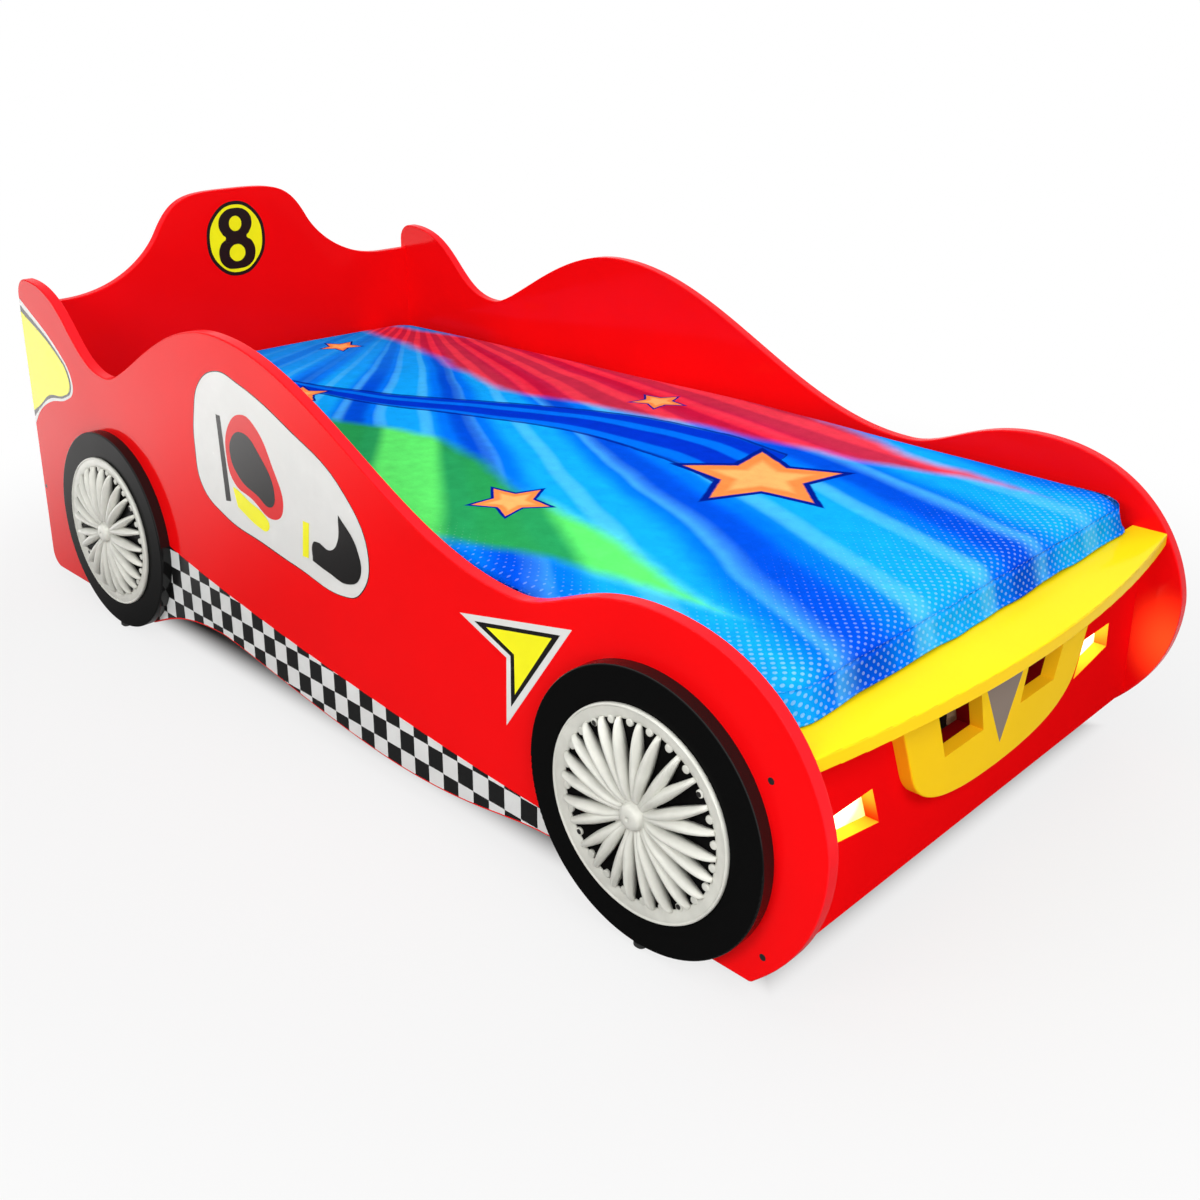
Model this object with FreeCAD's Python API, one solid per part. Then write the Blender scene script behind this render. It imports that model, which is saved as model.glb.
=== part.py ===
import FreeCAD, Part
import math
import os

# A child's bed in the shape of a racing car, in millimetres.
# +X points to the foot end (the car's nose), +Y to the car's left side, +Z up.
# The origin is on the floor, under the middle of the bed.

V = FreeCAD.Vector

# ---------------------------------------------------------------- driving sizes
BOARD = 22.0                 # thickness of every painted board
MATTRESS_LENGTH = 2000.0
MATTRESS_WIDTH = 1000.0
MATTRESS_HEIGHT = 150.0       # at the middle of the crown
END_GAP = 3.0                # mattress to headboard, and mattress to front panel
SIDE_GAP = 13.0              # mattress to each side panel
SHELF_REACH = 110.0          # front panel's rear face to the shelf's foremost point
SHELF_CORNER_REACH = 60.0    # the same at the shelf's two corners
GLIDE_HEIGHT = 10.0          # floor to the lowest point of the tyres
TYRE_RADIUS = 210.0
TRIM_RADIUS = 157.5
MATTRESS_BASE_Z = 318.0      # top of the slats
SHELF_TOP_Z = 387.5
EDGE_ROUND = 2.5             # rounding of the painted boards' edges
SKIN = 0.4                   # thickness of the printed decals

# ---------------------------------------------------------------- main planes
INNER_LENGTH = MATTRESS_LENGTH + 2 * END_GAP
INNER_WIDTH = MATTRESS_WIDTH + 2 * SIDE_GAP
OVERALL_LENGTH = BOARD + INNER_LENGTH + SHELF_REACH
REAR_X = -OVERALL_LENGTH / 2
HEAD_X = REAR_X + BOARD                  # front face of the headboard
FOOT_X = HEAD_X + INNER_LENGTH           # rear face of the front panel
FASCIA_X = FOOT_X + BOARD                # front face of the front panel
GRILLE_X = FASCIA_X + BOARD              # front face of the grille panel
TIP_X = FOOT_X + SHELF_REACH             # foremost point of the shelf
INNER_Y = INNER_WIDTH / 2                # inner face of a side panel
OUTER_Y = INNER_Y + BOARD                # outer face of a side panel
TYRE_Y = OUTER_Y + BOARD                 # outer face of a tyre disc
WHEEL_Z = GLIDE_HEIGHT + TYRE_RADIUS
SHELF_BASE_Z = SHELF_TOP_Z - BOARD

# ---------------------------------------------------------------- side panel outline
SILL_Z = 36.0                # flat bottom under the wheels
FIN_TOP_Z = 704.0
FIN_CORNER = 40.0            # rounding of the fin's rear corner
HEEL_CORNER = 36.0           # rounding of the rear bottom corner
REAR_WHEEL_SETBACK = 356.0   # rear edge to the rear wheel's centre
FRONT_WHEEL_SETBACK = 289.0  # nose to the front wheel's centre
NOSE_SETBACK = 9.0           # shelf's tip to the side panel's foremost point
NOSE_Z = 262.0
REAR_DIP_Z = 546.0           # lowest point between the fin and the crest
REAR_DIP_OFFSET = 11.5       # rear wheel's centre to that point
CREST_Z = 705.0
CREST_OFFSET = 432.5         # rear wheel's centre to the crest
WAIST_Z = 445.0              # lowest point between the crest and the fender
WAIST_OFFSET = 265.5         # waist to the front wheel's centre
FENDER_Z = 512.0             # the fender's top, over the front wheel's centre
TOE_SETBACK = 108.0          # nose back to the start of the flat bottom
TOE_OFFSET = 60.0            # front wheel's centre to the front end of the sill
SILL_LOW_Z = 45.0
SILL_LOW_OFFSET = 273.0      # waist back to the sill's lowest point
SILL_HIGH_Z = 103.0
SILL_HIGH_OFFSET = 45.0      # crest back to the sill's highest point
SILL_FRONT_OFFSET = 170.5    # front wheel's centre back to the sill's front end
SILL_FRONT_RISE = 43.0
SILL_CORNER = 10.0           # rounding of the lower edge's corners
SILL_REAR_OFFSET = 104.5     # rear wheel's centre to the sill's rear end
NOSE_X = TIP_X - NOSE_SETBACK
REAR_WHEEL_X = REAR_X + REAR_WHEEL_SETBACK
FRONT_WHEEL_X = NOSE_X - FRONT_WHEEL_SETBACK
CREST_X = REAR_WHEEL_X + CREST_OFFSET
WAIST_X = FRONT_WHEEL_X - WAIST_OFFSET
SILL_FRONT_X = FRONT_WHEEL_X - SILL_FRONT_OFFSET
SILL_REAR_X = REAR_WHEEL_X + SILL_REAR_OFFSET

# ---------------------------------------------------------------- headboard outline
CROWN_Z = 846.0
CROWN_HALF = 204.0           # half width at the crown's steepest point
CROWN_STEEP_Z = 761.0
HEADBOARD_WING_Z = 643.0
HEADBOARD_WING_Y = 440.0
HEADBOARD_BASE_Z = 70.0

# ---------------------------------------------------------------- front panel, grille, lamps
FASCIA_BASE_Z = 70.0
GRILLE_TOP_HALF = 302.0
GRILLE_SHOULDER_HALF = 250.0
GRILLE_SHOULDER_Z = 235.0
GRILLE_BASE_Z = 155.0
WINDOW_BASE_Z = 235.0
WINDOW_TOP_Z = 311.0
WINDOW_INNER_Y = 56.0
WINDOW_WIDTH = 109.0
WINDOW_LEAN = 20.0           # how far the inner side leans outwards at the top
WINDOW_FLARE = 8.0           # how much wider the window is at its top
TRIANGLE_HALF = 63.0
TRIANGLE_TIP_Z = 191.0
LAMP_TOP_Z = 242.5
LAMP_INNER_TOP = (INNER_Y - 196.0, LAMP_TOP_Z)
LAMP_INNER_BASE = (INNER_Y - 220.0, 179.0)
LAMP_OUTER_BASE = (INNER_Y - 101.0, 198.0)
LAMP_OUTER_TOP = (INNER_Y - 103.0, LAMP_TOP_Z)
LAMP_BOX_DEPTH = 45.0
LAMP_WALL = 4.0
DIFFUSER = 3.0
LED_BOARD = 1.6
LED_COUNT = 5
LED_SIZE = 5.0
LED_RISE = 1.4
FIT = 0.3                    # clearance of pieces that drop or slide into place
DIFFUSER_X = FOOT_X - FIT - DIFFUSER     # rear face of the frosted plate

# ---------------------------------------------------------------- wheel trims
TRIM_SEAT = 5.0              # height of the trim's rim over the tyre disc
TRIM_RIM_WIDTH = 20.0
HUB_RADIUS = 19.0
HUB_HEIGHT = 22.0            # top of the hub over the tyre disc
HUB_CAP_RADIUS = 10.0        # the flat cap at the hub's middle
HUB_CAP_DROP = 2.5
SPOKE_SHELL = 5.0            # thickness of the bowed spokes
SPOKE_CREST = 20.5           # the spokes' highest point over the tyre disc
SPOKE_CREST_RADIUS = 72.0    # and how far out it lies
SPOKE_DISH = 10.5            # height of the spokes where they meet the hub
SPOKE_ROOT_RADIUS = 41.0     # where the gaps between the spokes start
TRIM_BEAD = 2.0              # rise of the rim's outer bead over its seat
TRIM_BEAD_WIDTH = 4.0
TRIM_FOOT = 1.5              # clearance under the spokes' outer ends
SPOKE_COUNT = 12             # forked spokes in one trim
SPOKE_START_DEG = 51.0
FORK_HALF_DEG = 7.2
SPOKE_WIDTH = 12.0
FORK_RADIUS = 76.0           # where a spoke's two arms part
KNOB_RADIUS = 5.2
KNOB_HEIGHT = 4.0
TRIM_SCREW_COUNT = 4
TRIM_SCREW_START_DEG = 36.0

# ---------------------------------------------------------------- slatted base
SLAT_COUNT = 10
SLAT_WIDTH = 90.0
SLAT_THICKNESS = 20.0
SLAT_END_GAP = 4.0
SLAT_SCREW_LENGTH = 40.0
RAIL_SCREW_COUNT = 6
RAIL_SCREW_INSET = 65.0      # rail's end to its first screw
LEG_SHARES = (0.36, 0.68)    # places of the centre legs along the centre rail
RAIL_WIDTH = 30.0
RAIL_HEIGHT = 45.0
LEG_SIZE = 45.0
CLEAT_HEIGHT = 40.0
CLEAT_WIDTH = 90.0
SLAT_TOP_Z = MATTRESS_BASE_Z
RAIL_TOP_Z = SLAT_TOP_Z - SLAT_THICKNESS
RAIL_BASE_Z = RAIL_TOP_Z - RAIL_HEIGHT

# ---------------------------------------------------------------- mattress and cover
COVER = 3.0                  # thickness of the plush cover
COVER_HEM_Z = 391.0
MATTRESS_CORNER = 60.0       # plan rounding of the corners
MATTRESS_EDGE = 32.0         # rounding of the top edges
MATTRESS_CROWN = 8.0         # rise of the top from its long edges to the middle
MATTRESS_BOW = 14.0          # rise of the top from its two ends to the middle
MATTRESS_WAIST = 4.0         # how far each long side is drawn in

# ---------------------------------------------------------------- fasteners
BOLT_LENGTH = 50.0
BOLT_RADIUS = 3.5
BOLT_HEAD_RADIUS = 5.0
BOLT_HEAD_HEIGHT = 4.0
FRONT_BOLTS_Z = (86.0, 346.0)
HEADBOARD_BOLTS_Z = (228.0, 482.0, 575.0)
TYRE_SCREWS_RADIUS = 116.0   # circle of the four screws that hold a tyre disc
SCREW_RADIUS = 2.0
SCREW_HEAD_RADIUS = 4.0
SCREW_HEAD_HEIGHT = 3.0
GLIDE_RADIUS = 11.0
GLIDE_NAIL_RADIUS = 1.5
GLIDE_NAIL_LENGTH = 18.0

# ---------------------------------------------------------------- battery box and switch
CELL_RADIUS = 7.1
CELL_LENGTH = 50.0
CELL_NUB_RADIUS = 2.6
CELL_NUB_LENGTH = 1.5
CELL_COUNT = 3
CONTACT_RADIUS = 4.5
CONTACT_THICKNESS = 0.5
SPRING_RADIUS = 2.2
BOX_WALL = 2.0
BOX_BASE_Z = 120.0
LID_THICKNESS = 1.8
LID_LIP = 1.2                # how far the lid runs into each groove
LID_RIB_COUNT = 3
LID_RIB_WIDTH = 2.0
LID_RIB_LENGTH = 20.0
LID_RIB_RISE = 1.0
SPRING_ROOM = 2.5            # contact spring at each end of a cell
SWITCH_LENGTH = 22.0
SWITCH_HEIGHT = 14.0
SWITCH_DEPTH = 15.0
SWITCH_WALL = 2.5
SWITCH_GAP = 14.0            # battery box to switch
ROCKER_TILT_DEG = 8.0        # each way from the middle
ROCKER_CREST = 3.5           # pivot to the rocker's outer face at its middle
ROCKER_HEEL = 2.0            # pivot to its inner face at the two ends
ROCKER_KEEL = 4.0            # pivot to its inner face at the middle
ROCKER_END_GAP = 0.8
ROCKER_PIN_RADIUS = 1.5
PIN_SOCKET_WALL = 0.5
PIN_END_GAP = 0.3
PIVOT_DEPTH = 12.0           # front panel to the rocker's pivot
PIN_CLEARANCE = 0.08
WIRE_RADIUS = 1.5
WIRE_BEND = 15.0
WIRE_Z = 150.0
CLIP_WALL = 1.2
CLIP_WIDTH = 6.0
CLIP_SHARES = (-0.75, -0.35, 0.55, 0.8)   # places of the clips, in shares of the way to a lamp

# ---------------------------------------------------------------- printed decals
# a place is (distance along the bed from the crest, waist or wheel, height over the floor)
WINDOW_PRINT_REAR = (-82.0, 485.0)
WINDOW_PRINT_TOP = (14.0, 639.0)
WINDOW_PRINT_FRONT = (442.0, 408.0)
WINDOW_PRINT_TOE = (362.0, 315.0)
WINDOW_PRINT_HEEL = (50.0, 355.0)
ARROW_TIP = (121.0, 434.0)
ARROW_REAR = (-118.0, 383.0)
ARROW_NOTCH = (-15.0, 344.0)
ARROW_FOOT = (-18.0, 231.0)
TAIL_LOW_Z = 373.0
TAIL_SHOULDER = (-177.5, 464.0)
TAIL_TIP = (-144.5, 500.0)
TAIL_BROW = (-191.5, 566.0)
TAIL_TOP_Z = 659.0
CHECKER_MARGIN = 4.0
CHECKER_REAR_Z = 266.0
CHECKER_FRONT_Z = 118.0
ROUNDEL_HALF_WIDTH = 80.0
ROUNDEL_HALF_HEIGHT = 89.5
ROUNDEL_DROP = 119.0         # crown to the roundel's middle


# ================================================================ drawing helpers
class Outline:
    """A closed outline drawn in the two directions (u, v) of a plane."""

    def __init__(self, u, v):
        self.start = (u, v)
        self.here = (u, v)
        self.spans = []

    def line(self, u, v):
        self.spans.append(("line", [self.here, (u, v)]))
        self.here = (u, v)
        return self

    def arc(self, middle, end):
        self.spans.append(("arc", [self.here, middle, end]))
        self.here = end
        return self

    def corner(self, radius, centre, from_deg):
        """A quarter turn, anticlockwise, that starts from_deg round its centre."""
        def on_circle(deg):
            turn = math.radians(deg)
            return (centre[0] + radius * math.cos(turn), centre[1] + radius * math.sin(turn))
        return self.arc(on_circle(from_deg + 45), on_circle(from_deg + 90))

    def curve(self, leave, end, arrive):
        """A cubic span. Its two handles are shares of its own run and rise."""
        run, rise = end[0] - self.here[0], end[1] - self.here[1]
        first = (self.here[0] + leave[0] * run, self.here[1] + leave[1] * rise)
        second = (end[0] - arrive[0] * run, end[1] - arrive[1] * rise)
        self.spans.append(("curve", [self.here, first, second, end]))
        self.here = end
        return self

    def wire(self, plane, level):
        place = {"XZ": lambda u, v: V(u, level, v),
                 "YZ": lambda u, v: V(level, u, v),
                 "XY": lambda u, v: V(u, v, level)}[plane]
        edges = []
        spans = list(self.spans)
        if math.dist(self.here, self.start) > 1e-6:
            spans.append(("line", [self.here, self.start]))
        for kind, points in spans:
            placed = [place(*point) for point in points]
            if kind == "line":
                edges.append(Part.makeLine(*placed))
            elif kind == "arc":
                edges.append(Part.Arc(*placed).toShape())
            else:
                bezier = Part.BezierCurve()
                bezier.setPoles(placed)
                edges.append(bezier.toShape())
        return Part.Wire(edges)

    def plate(self, plane, level, depth):
        """A plate from level to level + depth along the plane's normal."""
        normal = {"XZ": V(0, 1, 0), "YZ": V(1, 0, 0), "XY": V(0, 0, 1)}[plane]
        return Part.Face(self.wire(plane, level)).extrude(normal * depth)


def polygon(points):
    outline = Outline(*points[0])
    for point in points[1:]:
        outline.line(*point)
    return outline


def block(low, high):
    size = [b - a for a, b in zip(low, high)]
    return Part.makeBox(*size, V(*low))


def rod(radius, start, end):
    along = V(*end) - V(*start)
    return Part.makeCylinder(radius, along.Length, V(*start), along)


def mirrored(shape):
    """The same piece on the bed's other side."""
    return shape.mirror(V(0, 0, 0), V(0, 1, 0))


def round_rims(solid, radius, normal, levels):
    """Round the edges that lie in the flat faces of a plate."""
    axis = V(*normal)
    rims = [edge for edge in solid.Edges for level in levels
            if all(abs(vertex.Point.dot(axis) - level) < 1e-4 for vertex in edge.Vertexes)
            and abs(edge.CenterOfMass.dot(axis) - level) < 1e-4]
    return solid.makeFillet(radius, rims)


def save(name, solids):
    shape = solids if isinstance(solids, Part.Shape) else Part.makeCompound(solids)
    shape.exportStep("parts/%s.step" % name)
    print("%-26s solids %2d  volume %11.1f cm3  valid %s"
          % (name, len(shape.Solids), shape.Volume / 1000, shape.isValid()))


# ================================================================ fasteners
def countersunk(tip_to_head, head_point, length, radius, head_radius, head_height):
    """A countersunk screw whose head is flush at head_point; tip_to_head is its direction."""
    out = V(*tip_to_head)
    out.normalize()
    head_point = V(*head_point)
    shank = Part.makeCylinder(radius, length, head_point - out * length, out)
    head = Part.makeCone(radius, head_radius, head_height, head_point - out * head_height, out)
    return shank.fuse(head).removeSplitter()


def panel_bolts():
    """Bolts through the side panels into the headboard's and the front panel's ends."""
    places = [(FOOT_X + BOARD / 2, z) for z in FRONT_BOLTS_Z]
    places += [(REAR_X + BOARD / 2, z) for z in HEADBOARD_BOLTS_Z]
    right = [countersunk((0, -1, 0), (x, -OUTER_Y, z), BOLT_LENGTH, BOLT_RADIUS,
                         BOLT_HEAD_RADIUS, BOLT_HEAD_HEIGHT) for x, z in places]
    return right + [mirrored(bolt) for bolt in right]


def slat_centres():
    first = HEAD_X + SLAT_WIDTH / 2 + SLAT_END_GAP
    last = FOOT_X - SLAT_WIDTH / 2 - SLAT_END_GAP
    pitch = (last - first) / (SLAT_COUNT - 1)
    return [first + i * pitch for i in range(SLAT_COUNT)]


def slat_screws():
    y = INNER_Y - RAIL_WIDTH / 2
    return [countersunk((0, 0, 1), (x, side * y, SLAT_TOP_Z), SLAT_SCREW_LENGTH, SCREW_RADIUS,
                        SCREW_HEAD_RADIUS, SCREW_HEAD_HEIGHT)
            for x in slat_centres() for side in (-1, 1)]


def rail_screws():
    """Screws from inside through each ledger rail into its side panel."""
    z = RAIL_BASE_Z + RAIL_HEIGHT / 2
    pitch = (INNER_LENGTH - 2 * RAIL_SCREW_INSET) / (RAIL_SCREW_COUNT - 1)
    xs = [HEAD_X + RAIL_SCREW_INSET + i * pitch for i in range(RAIL_SCREW_COUNT)]
    right = [countersunk((0, 1, 0), (x, -INNER_Y + RAIL_WIDTH, z), RAIL_WIDTH + BOARD * 0.6,
                         SCREW_RADIUS, SCREW_HEAD_RADIUS, SCREW_HEAD_HEIGHT) for x in xs]
    return right + [mirrored(screw) for screw in right]


def wheel_places():
    return {"front": FRONT_WHEEL_X, "rear": REAR_WHEEL_X}


def tyre_screws():
    """Screws from inside through the side panels into the tyre discs."""
    screws = []
    for x in wheel_places().values():
        for turn in (45, 135, 225, 315):
            dx = TYRE_SCREWS_RADIUS * math.cos(math.radians(turn))
            dz = TYRE_SCREWS_RADIUS * math.sin(math.radians(turn))
            screws.append(countersunk((0, 1, 0), (x + dx, -INNER_Y, WHEEL_Z + dz), BOARD * 1.6,
                                      SCREW_RADIUS, SCREW_HEAD_RADIUS, SCREW_HEAD_HEIGHT))
    return screws + [mirrored(screw) for screw in screws]


def trim_screw_places():
    step = 360.0 / TRIM_SCREW_COUNT
    return [TRIM_SCREW_START_DEG + i * step for i in range(TRIM_SCREW_COUNT)]


def knob_ring_radius():
    return TRIM_RADIUS - TRIM_RIM_WIDTH - KNOB_RADIUS


def trim_screws():
    screws = []
    reach = knob_ring_radius()
    for x in wheel_places().values():
        for turn in trim_screw_places():
            dx = reach * math.cos(math.radians(turn))
            dz = reach * math.sin(math.radians(turn))
            screws.append(countersunk((0, -1, 0), (x + dx, -TYRE_Y - KNOB_HEIGHT, WHEEL_Z + dz),
                                      KNOB_HEIGHT + BOARD * 0.6, SCREW_RADIUS,
                                      SCREW_HEAD_RADIUS, SCREW_HEAD_HEIGHT))
    return screws + [mirrored(screw) for screw in screws]


def leg_centres():
    return [HEAD_X + INNER_LENGTH * share for share in LEG_SHARES]


def glide(x, y):
    """A domed furniture glide with its nail, standing on the floor at (x, y)."""
    dome = Part.makeCone(GLIDE_RADIUS * 0.7, GLIDE_RADIUS, GLIDE_HEIGHT * 0.35, V(x, y, 0))
    body = Part.makeCylinder(GLIDE_RADIUS, GLIDE_HEIGHT * 0.65, V(x, y, GLIDE_HEIGHT * 0.35))
    nail = Part.makeCylinder(GLIDE_NAIL_RADIUS, GLIDE_NAIL_LENGTH, V(x, y, GLIDE_HEIGHT))
    return dome.fuse([body, nail]).removeSplitter()


def floor_glides():
    y = OUTER_Y + BOARD / 2
    under_wheels = [glide(x, side * y) for x in wheel_places().values() for side in (-1, 1)]
    return under_wheels + [glide(x, 0) for x in leg_centres()]


# ================================================================ boards
def sill(outline, raise_by=0.0):
    """Draw the panel's lower edge from the front wheel back to the rear wheel."""
    low_x = WAIST_X - SILL_LOW_OFFSET
    high_x = CREST_X - SILL_HIGH_OFFSET
    outline.curve((0.326, 0), (low_x, SILL_LOW_Z + raise_by), (0.527, 0))
    outline.curve((0.332, 0), (high_x, SILL_HIGH_Z + raise_by), (0.106, 0))
    outline.curve((0.551, 0), (SILL_REAR_X, SILL_Z + raise_by), (0.194, 0.328))
    return outline


def side_panel_outline():
    outline = Outline(NOSE_X - TOE_SETBACK, SILL_Z)
    outline.curve((0.222, 0.106), (NOSE_X, NOSE_Z), (0, 0.580))
    outline.curve((0, 0.240), (FRONT_WHEEL_X, FENDER_Z), (0.807, 0))
    outline.curve((0.494, 0), (WAIST_X, WAIST_Z), (0.296, 0))
    outline.curve((0.359, 0), (CREST_X, CREST_Z), (0.386, 0))
    outline.curve((0.442, 0), (REAR_WHEEL_X + REAR_DIP_OFFSET, REAR_DIP_Z), (0.183, 0))
    outline.curve((0.464, 0), (REAR_X + FIN_CORNER, FIN_TOP_Z), (0.562, 0))
    outline.corner(FIN_CORNER, (REAR_X + FIN_CORNER, FIN_TOP_Z - FIN_CORNER), 90)
    outline.line(REAR_X, SILL_Z + HEEL_CORNER)
    outline.corner(HEEL_CORNER, (REAR_X + HEEL_CORNER, SILL_Z + HEEL_CORNER), 180)
    # the lower edge is drawn from the rear, so the sill's spans are reversed here
    lower = sill(Outline(SILL_FRONT_X, SILL_Z + SILL_FRONT_RISE))
    outline.line(SILL_REAR_X, SILL_Z)
    for kind, points in reversed(lower.spans):
        outline.spans.append((kind, list(reversed(points))))
    outline.here = lower.start
    outline.line(FRONT_WHEEL_X + TOE_OFFSET, SILL_Z)
    return outline


def side_panel(holes):
    """The right side panel: its inner face is at -INNER_Y, its outer face at -OUTER_Y."""
    panel = side_panel_outline().plate("XZ", -OUTER_Y, BOARD)
    places = (NOSE_X - TOE_SETBACK, FRONT_WHEEL_X + TOE_OFFSET, SILL_FRONT_X, SILL_REAR_X)
    corners = [edge for edge in panel.Edges
               if edge.BoundBox.XLength < 1e-3 and edge.BoundBox.ZMax < SILL_HIGH_Z - 1
               and any(abs(edge.CenterOfMass.x - x) < 1e-3 for x in places)]
    panel = panel.makeFillet(SILL_CORNER, corners)
    panel = round_rims(panel, EDGE_ROUND, (0, 1, 0), (-OUTER_Y, -INNER_Y))
    return panel.cut(holes)


def headboard(holes):
    outline = Outline(INNER_Y, HEADBOARD_BASE_Z)
    outline.line(INNER_Y, HEADBOARD_WING_Z)
    outline.line(HEADBOARD_WING_Y, HEADBOARD_WING_Z)
    outline.curve((0.585, 0), (CROWN_HALF, CROWN_STEEP_Z), (0.097, 0.339))
    outline.curve((0.235, 0.976), (0, CROWN_Z), (0.588, 0))
    outline.curve((0.588, 0), (-CROWN_HALF, CROWN_STEEP_Z), (0.235, 0.976))
    outline.curve((0.097, 0.339), (-HEADBOARD_WING_Y, HEADBOARD_WING_Z), (0.585, 0))
    outline.line(-INNER_Y, HEADBOARD_WING_Z)
    outline.line(-INNER_Y, HEADBOARD_BASE_Z)
    board = outline.plate("YZ", REAR_X, BOARD)
    top = [edge for edge in board.Edges
           if edge.BoundBox.ZMin > HEADBOARD_WING_Z - 1 and edge.BoundBox.XLength < 1e-3
           and edge.BoundBox.YLength > 1]
    return board.makeFillet(EDGE_ROUND, top).cut(holes)


def lamp_opening(side):
    corners = [LAMP_INNER_BASE, LAMP_OUTER_BASE, LAMP_OUTER_TOP, LAMP_INNER_TOP]
    return polygon([(side * y, z) for y, z in corners])


def front_panel(holes):
    """The car's front, open at the two lamps and behind the grille's two windows."""
    board = block((FOOT_X, -INNER_Y, FASCIA_BASE_Z), (FASCIA_X, INNER_Y, SHELF_BASE_Z))
    openings = [shape(side).plate("YZ", FOOT_X - 1, BOARD + 2)
                for side in (-1, 1) for shape in (lamp_opening, grille_window)]
    return board.cut(openings).cut(holes)


def bumper_shelf():
    corner_x = FOOT_X + SHELF_CORNER_REACH
    outline = Outline(FOOT_X, -INNER_Y)
    outline.line(corner_x, -INNER_Y)
    outline.arc((TIP_X, 0), (corner_x, INNER_Y))
    outline.line(FOOT_X, INNER_Y)
    shelf = outline.plate("XY", SHELF_BASE_Z, BOARD)
    front = [edge for edge in shelf.Edges
             if edge.BoundBox.XMax > corner_x + 5 and edge.BoundBox.ZLength < 1e-3]
    return shelf.makeFillet(EDGE_ROUND, front)


def grille_window(side):
    inner_top = WINDOW_INNER_Y + WINDOW_LEAN
    outer_base = WINDOW_INNER_Y + WINDOW_WIDTH
    outer_top = inner_top + WINDOW_WIDTH + WINDOW_FLARE
    corners = [(WINDOW_INNER_Y, WINDOW_BASE_Z), (outer_base, WINDOW_BASE_Z),
               (outer_top, WINDOW_TOP_Z), (inner_top, WINDOW_TOP_Z)]
    return polygon([(side * y, z) for y, z in corners])


def grille_panel():
    outline = Outline(GRILLE_TOP_HALF, SHELF_BASE_Z)
    outline.line(-GRILLE_TOP_HALF, SHELF_BASE_Z)
    outline.line(-GRILLE_SHOULDER_HALF, GRILLE_SHOULDER_Z)
    outline.curve((0.088, 0.700), (0, GRILLE_BASE_Z), (0.600, 0))
    outline.curve((0.600, 0), (GRILLE_SHOULDER_HALF, GRILLE_SHOULDER_Z), (0.088, 0.700))
    plate = outline.plate("YZ", FASCIA_X, BOARD)
    rim = [edge for edge in plate.Edges
           if edge.BoundBox.XMin > GRILLE_X - 1e-3 and edge.BoundBox.ZMin < SHELF_BASE_Z - 1]
    plate = plate.makeFillet(EDGE_ROUND, rim)
    return plate.cut([grille_window(side).plate("YZ", FASCIA_X - 1, BOARD + 2) for side in (-1, 1)])


# ================================================================ wheels
def tyre_disc(x, holes):
    """A tyre disc on the bed's right side."""
    disc = Part.makeCylinder(TYRE_RADIUS, BOARD, V(x, -OUTER_Y, WHEEL_Z), V(0, -1, 0))
    outer = [edge for edge in disc.Edges if abs(edge.CenterOfMass.y + TYRE_Y) < 1e-3]
    return disc.makeFillet(EDGE_ROUND, outer).cut(holes)


def trim_gap(reach, half_width_deg_inner, half_width_deg_outer, start, centre_deg):
    """A tapering gap between two arms of the trim, as a prism along Y."""
    points = []
    for radius, half in ((start, half_width_deg_inner), (reach, half_width_deg_outer)):
        for sign in (1, -1) if radius == start else (-1, 1):
            turn = math.radians(centre_deg + sign * half)
            points.append((radius * math.cos(turn), radius * math.sin(turn)))
    return polygon(points).plate("XZ", -2 * HUB_HEIGHT, 3 * HUB_HEIGHT)


def wheel_trim():
    """One trim about the origin, outer side towards -Y, seated on y = 0."""
    inner_rim = TRIM_RADIUS - TRIM_RIM_WIDTH
    knob_inner = inner_rim - 2 * KNOB_RADIUS - TRIM_FOOT
    profile = Outline(0, 0)
    profile.line(0, -HUB_HEIGHT)
    profile.line(HUB_CAP_RADIUS, -HUB_HEIGHT + HUB_CAP_DROP)
    profile.line(HUB_RADIUS, -SPOKE_DISH)
    profile.arc((SPOKE_CREST_RADIUS, -SPOKE_CREST), (inner_rim, -TRIM_SEAT - TRIM_BEAD / 2))
    profile.line(TRIM_RADIUS - TRIM_BEAD_WIDTH, -TRIM_SEAT - TRIM_BEAD)
    profile.line(TRIM_RADIUS, -TRIM_SEAT * 0.5)
    profile.line(TRIM_RADIUS, 0)
    profile.line(knob_inner, 0)
    profile.line(knob_inner, -TRIM_FOOT)
    profile.arc((SPOKE_CREST_RADIUS, -SPOKE_CREST + SPOKE_SHELL),
                (HUB_RADIUS, -SPOKE_DISH + SPOKE_SHELL))
    profile.line(HUB_RADIUS, 0)
    trim = Part.Face(profile.wire("XY", 0)).revolve(V(0, 0, 0), V(0, 1, 0), 360)

    pitch = 360.0 / SPOKE_COUNT
    reach = knob_inner - TRIM_FOOT
    bar_inner = math.degrees(SPOKE_WIDTH / 2 / SPOKE_ROOT_RADIUS)
    bar_outer = math.degrees(SPOKE_WIDTH / 2 / reach)
    gaps = []
    for i in range(SPOKE_COUNT):
        spoke = SPOKE_START_DEG + i * pitch
        wide = pitch / 2 - FORK_HALF_DEG - bar_outer
        narrow = pitch / 2 - bar_inner - 0.5
        gaps.append(trim_gap(reach, max(narrow, 0.5), max(wide, 0.8), SPOKE_ROOT_RADIUS,
                             spoke + pitch / 2))
        gaps.append(trim_gap(reach, 0.4, max(FORK_HALF_DEG - bar_outer, 0.8), FORK_RADIUS, spoke))
    trim = trim.cut(gaps)

    knobs = []
    for i in range(2 * SPOKE_COUNT):
        turn = math.radians(SPOKE_START_DEG + i * pitch / 2)
        at = V(knob_ring_radius() * math.cos(turn), 0, knob_ring_radius() * math.sin(turn))
        knobs.append(Part.makeCylinder(KNOB_RADIUS, KNOB_HEIGHT, at, V(0, -1, 0)))
    return trim.fuse(knobs).removeSplitter()


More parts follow.
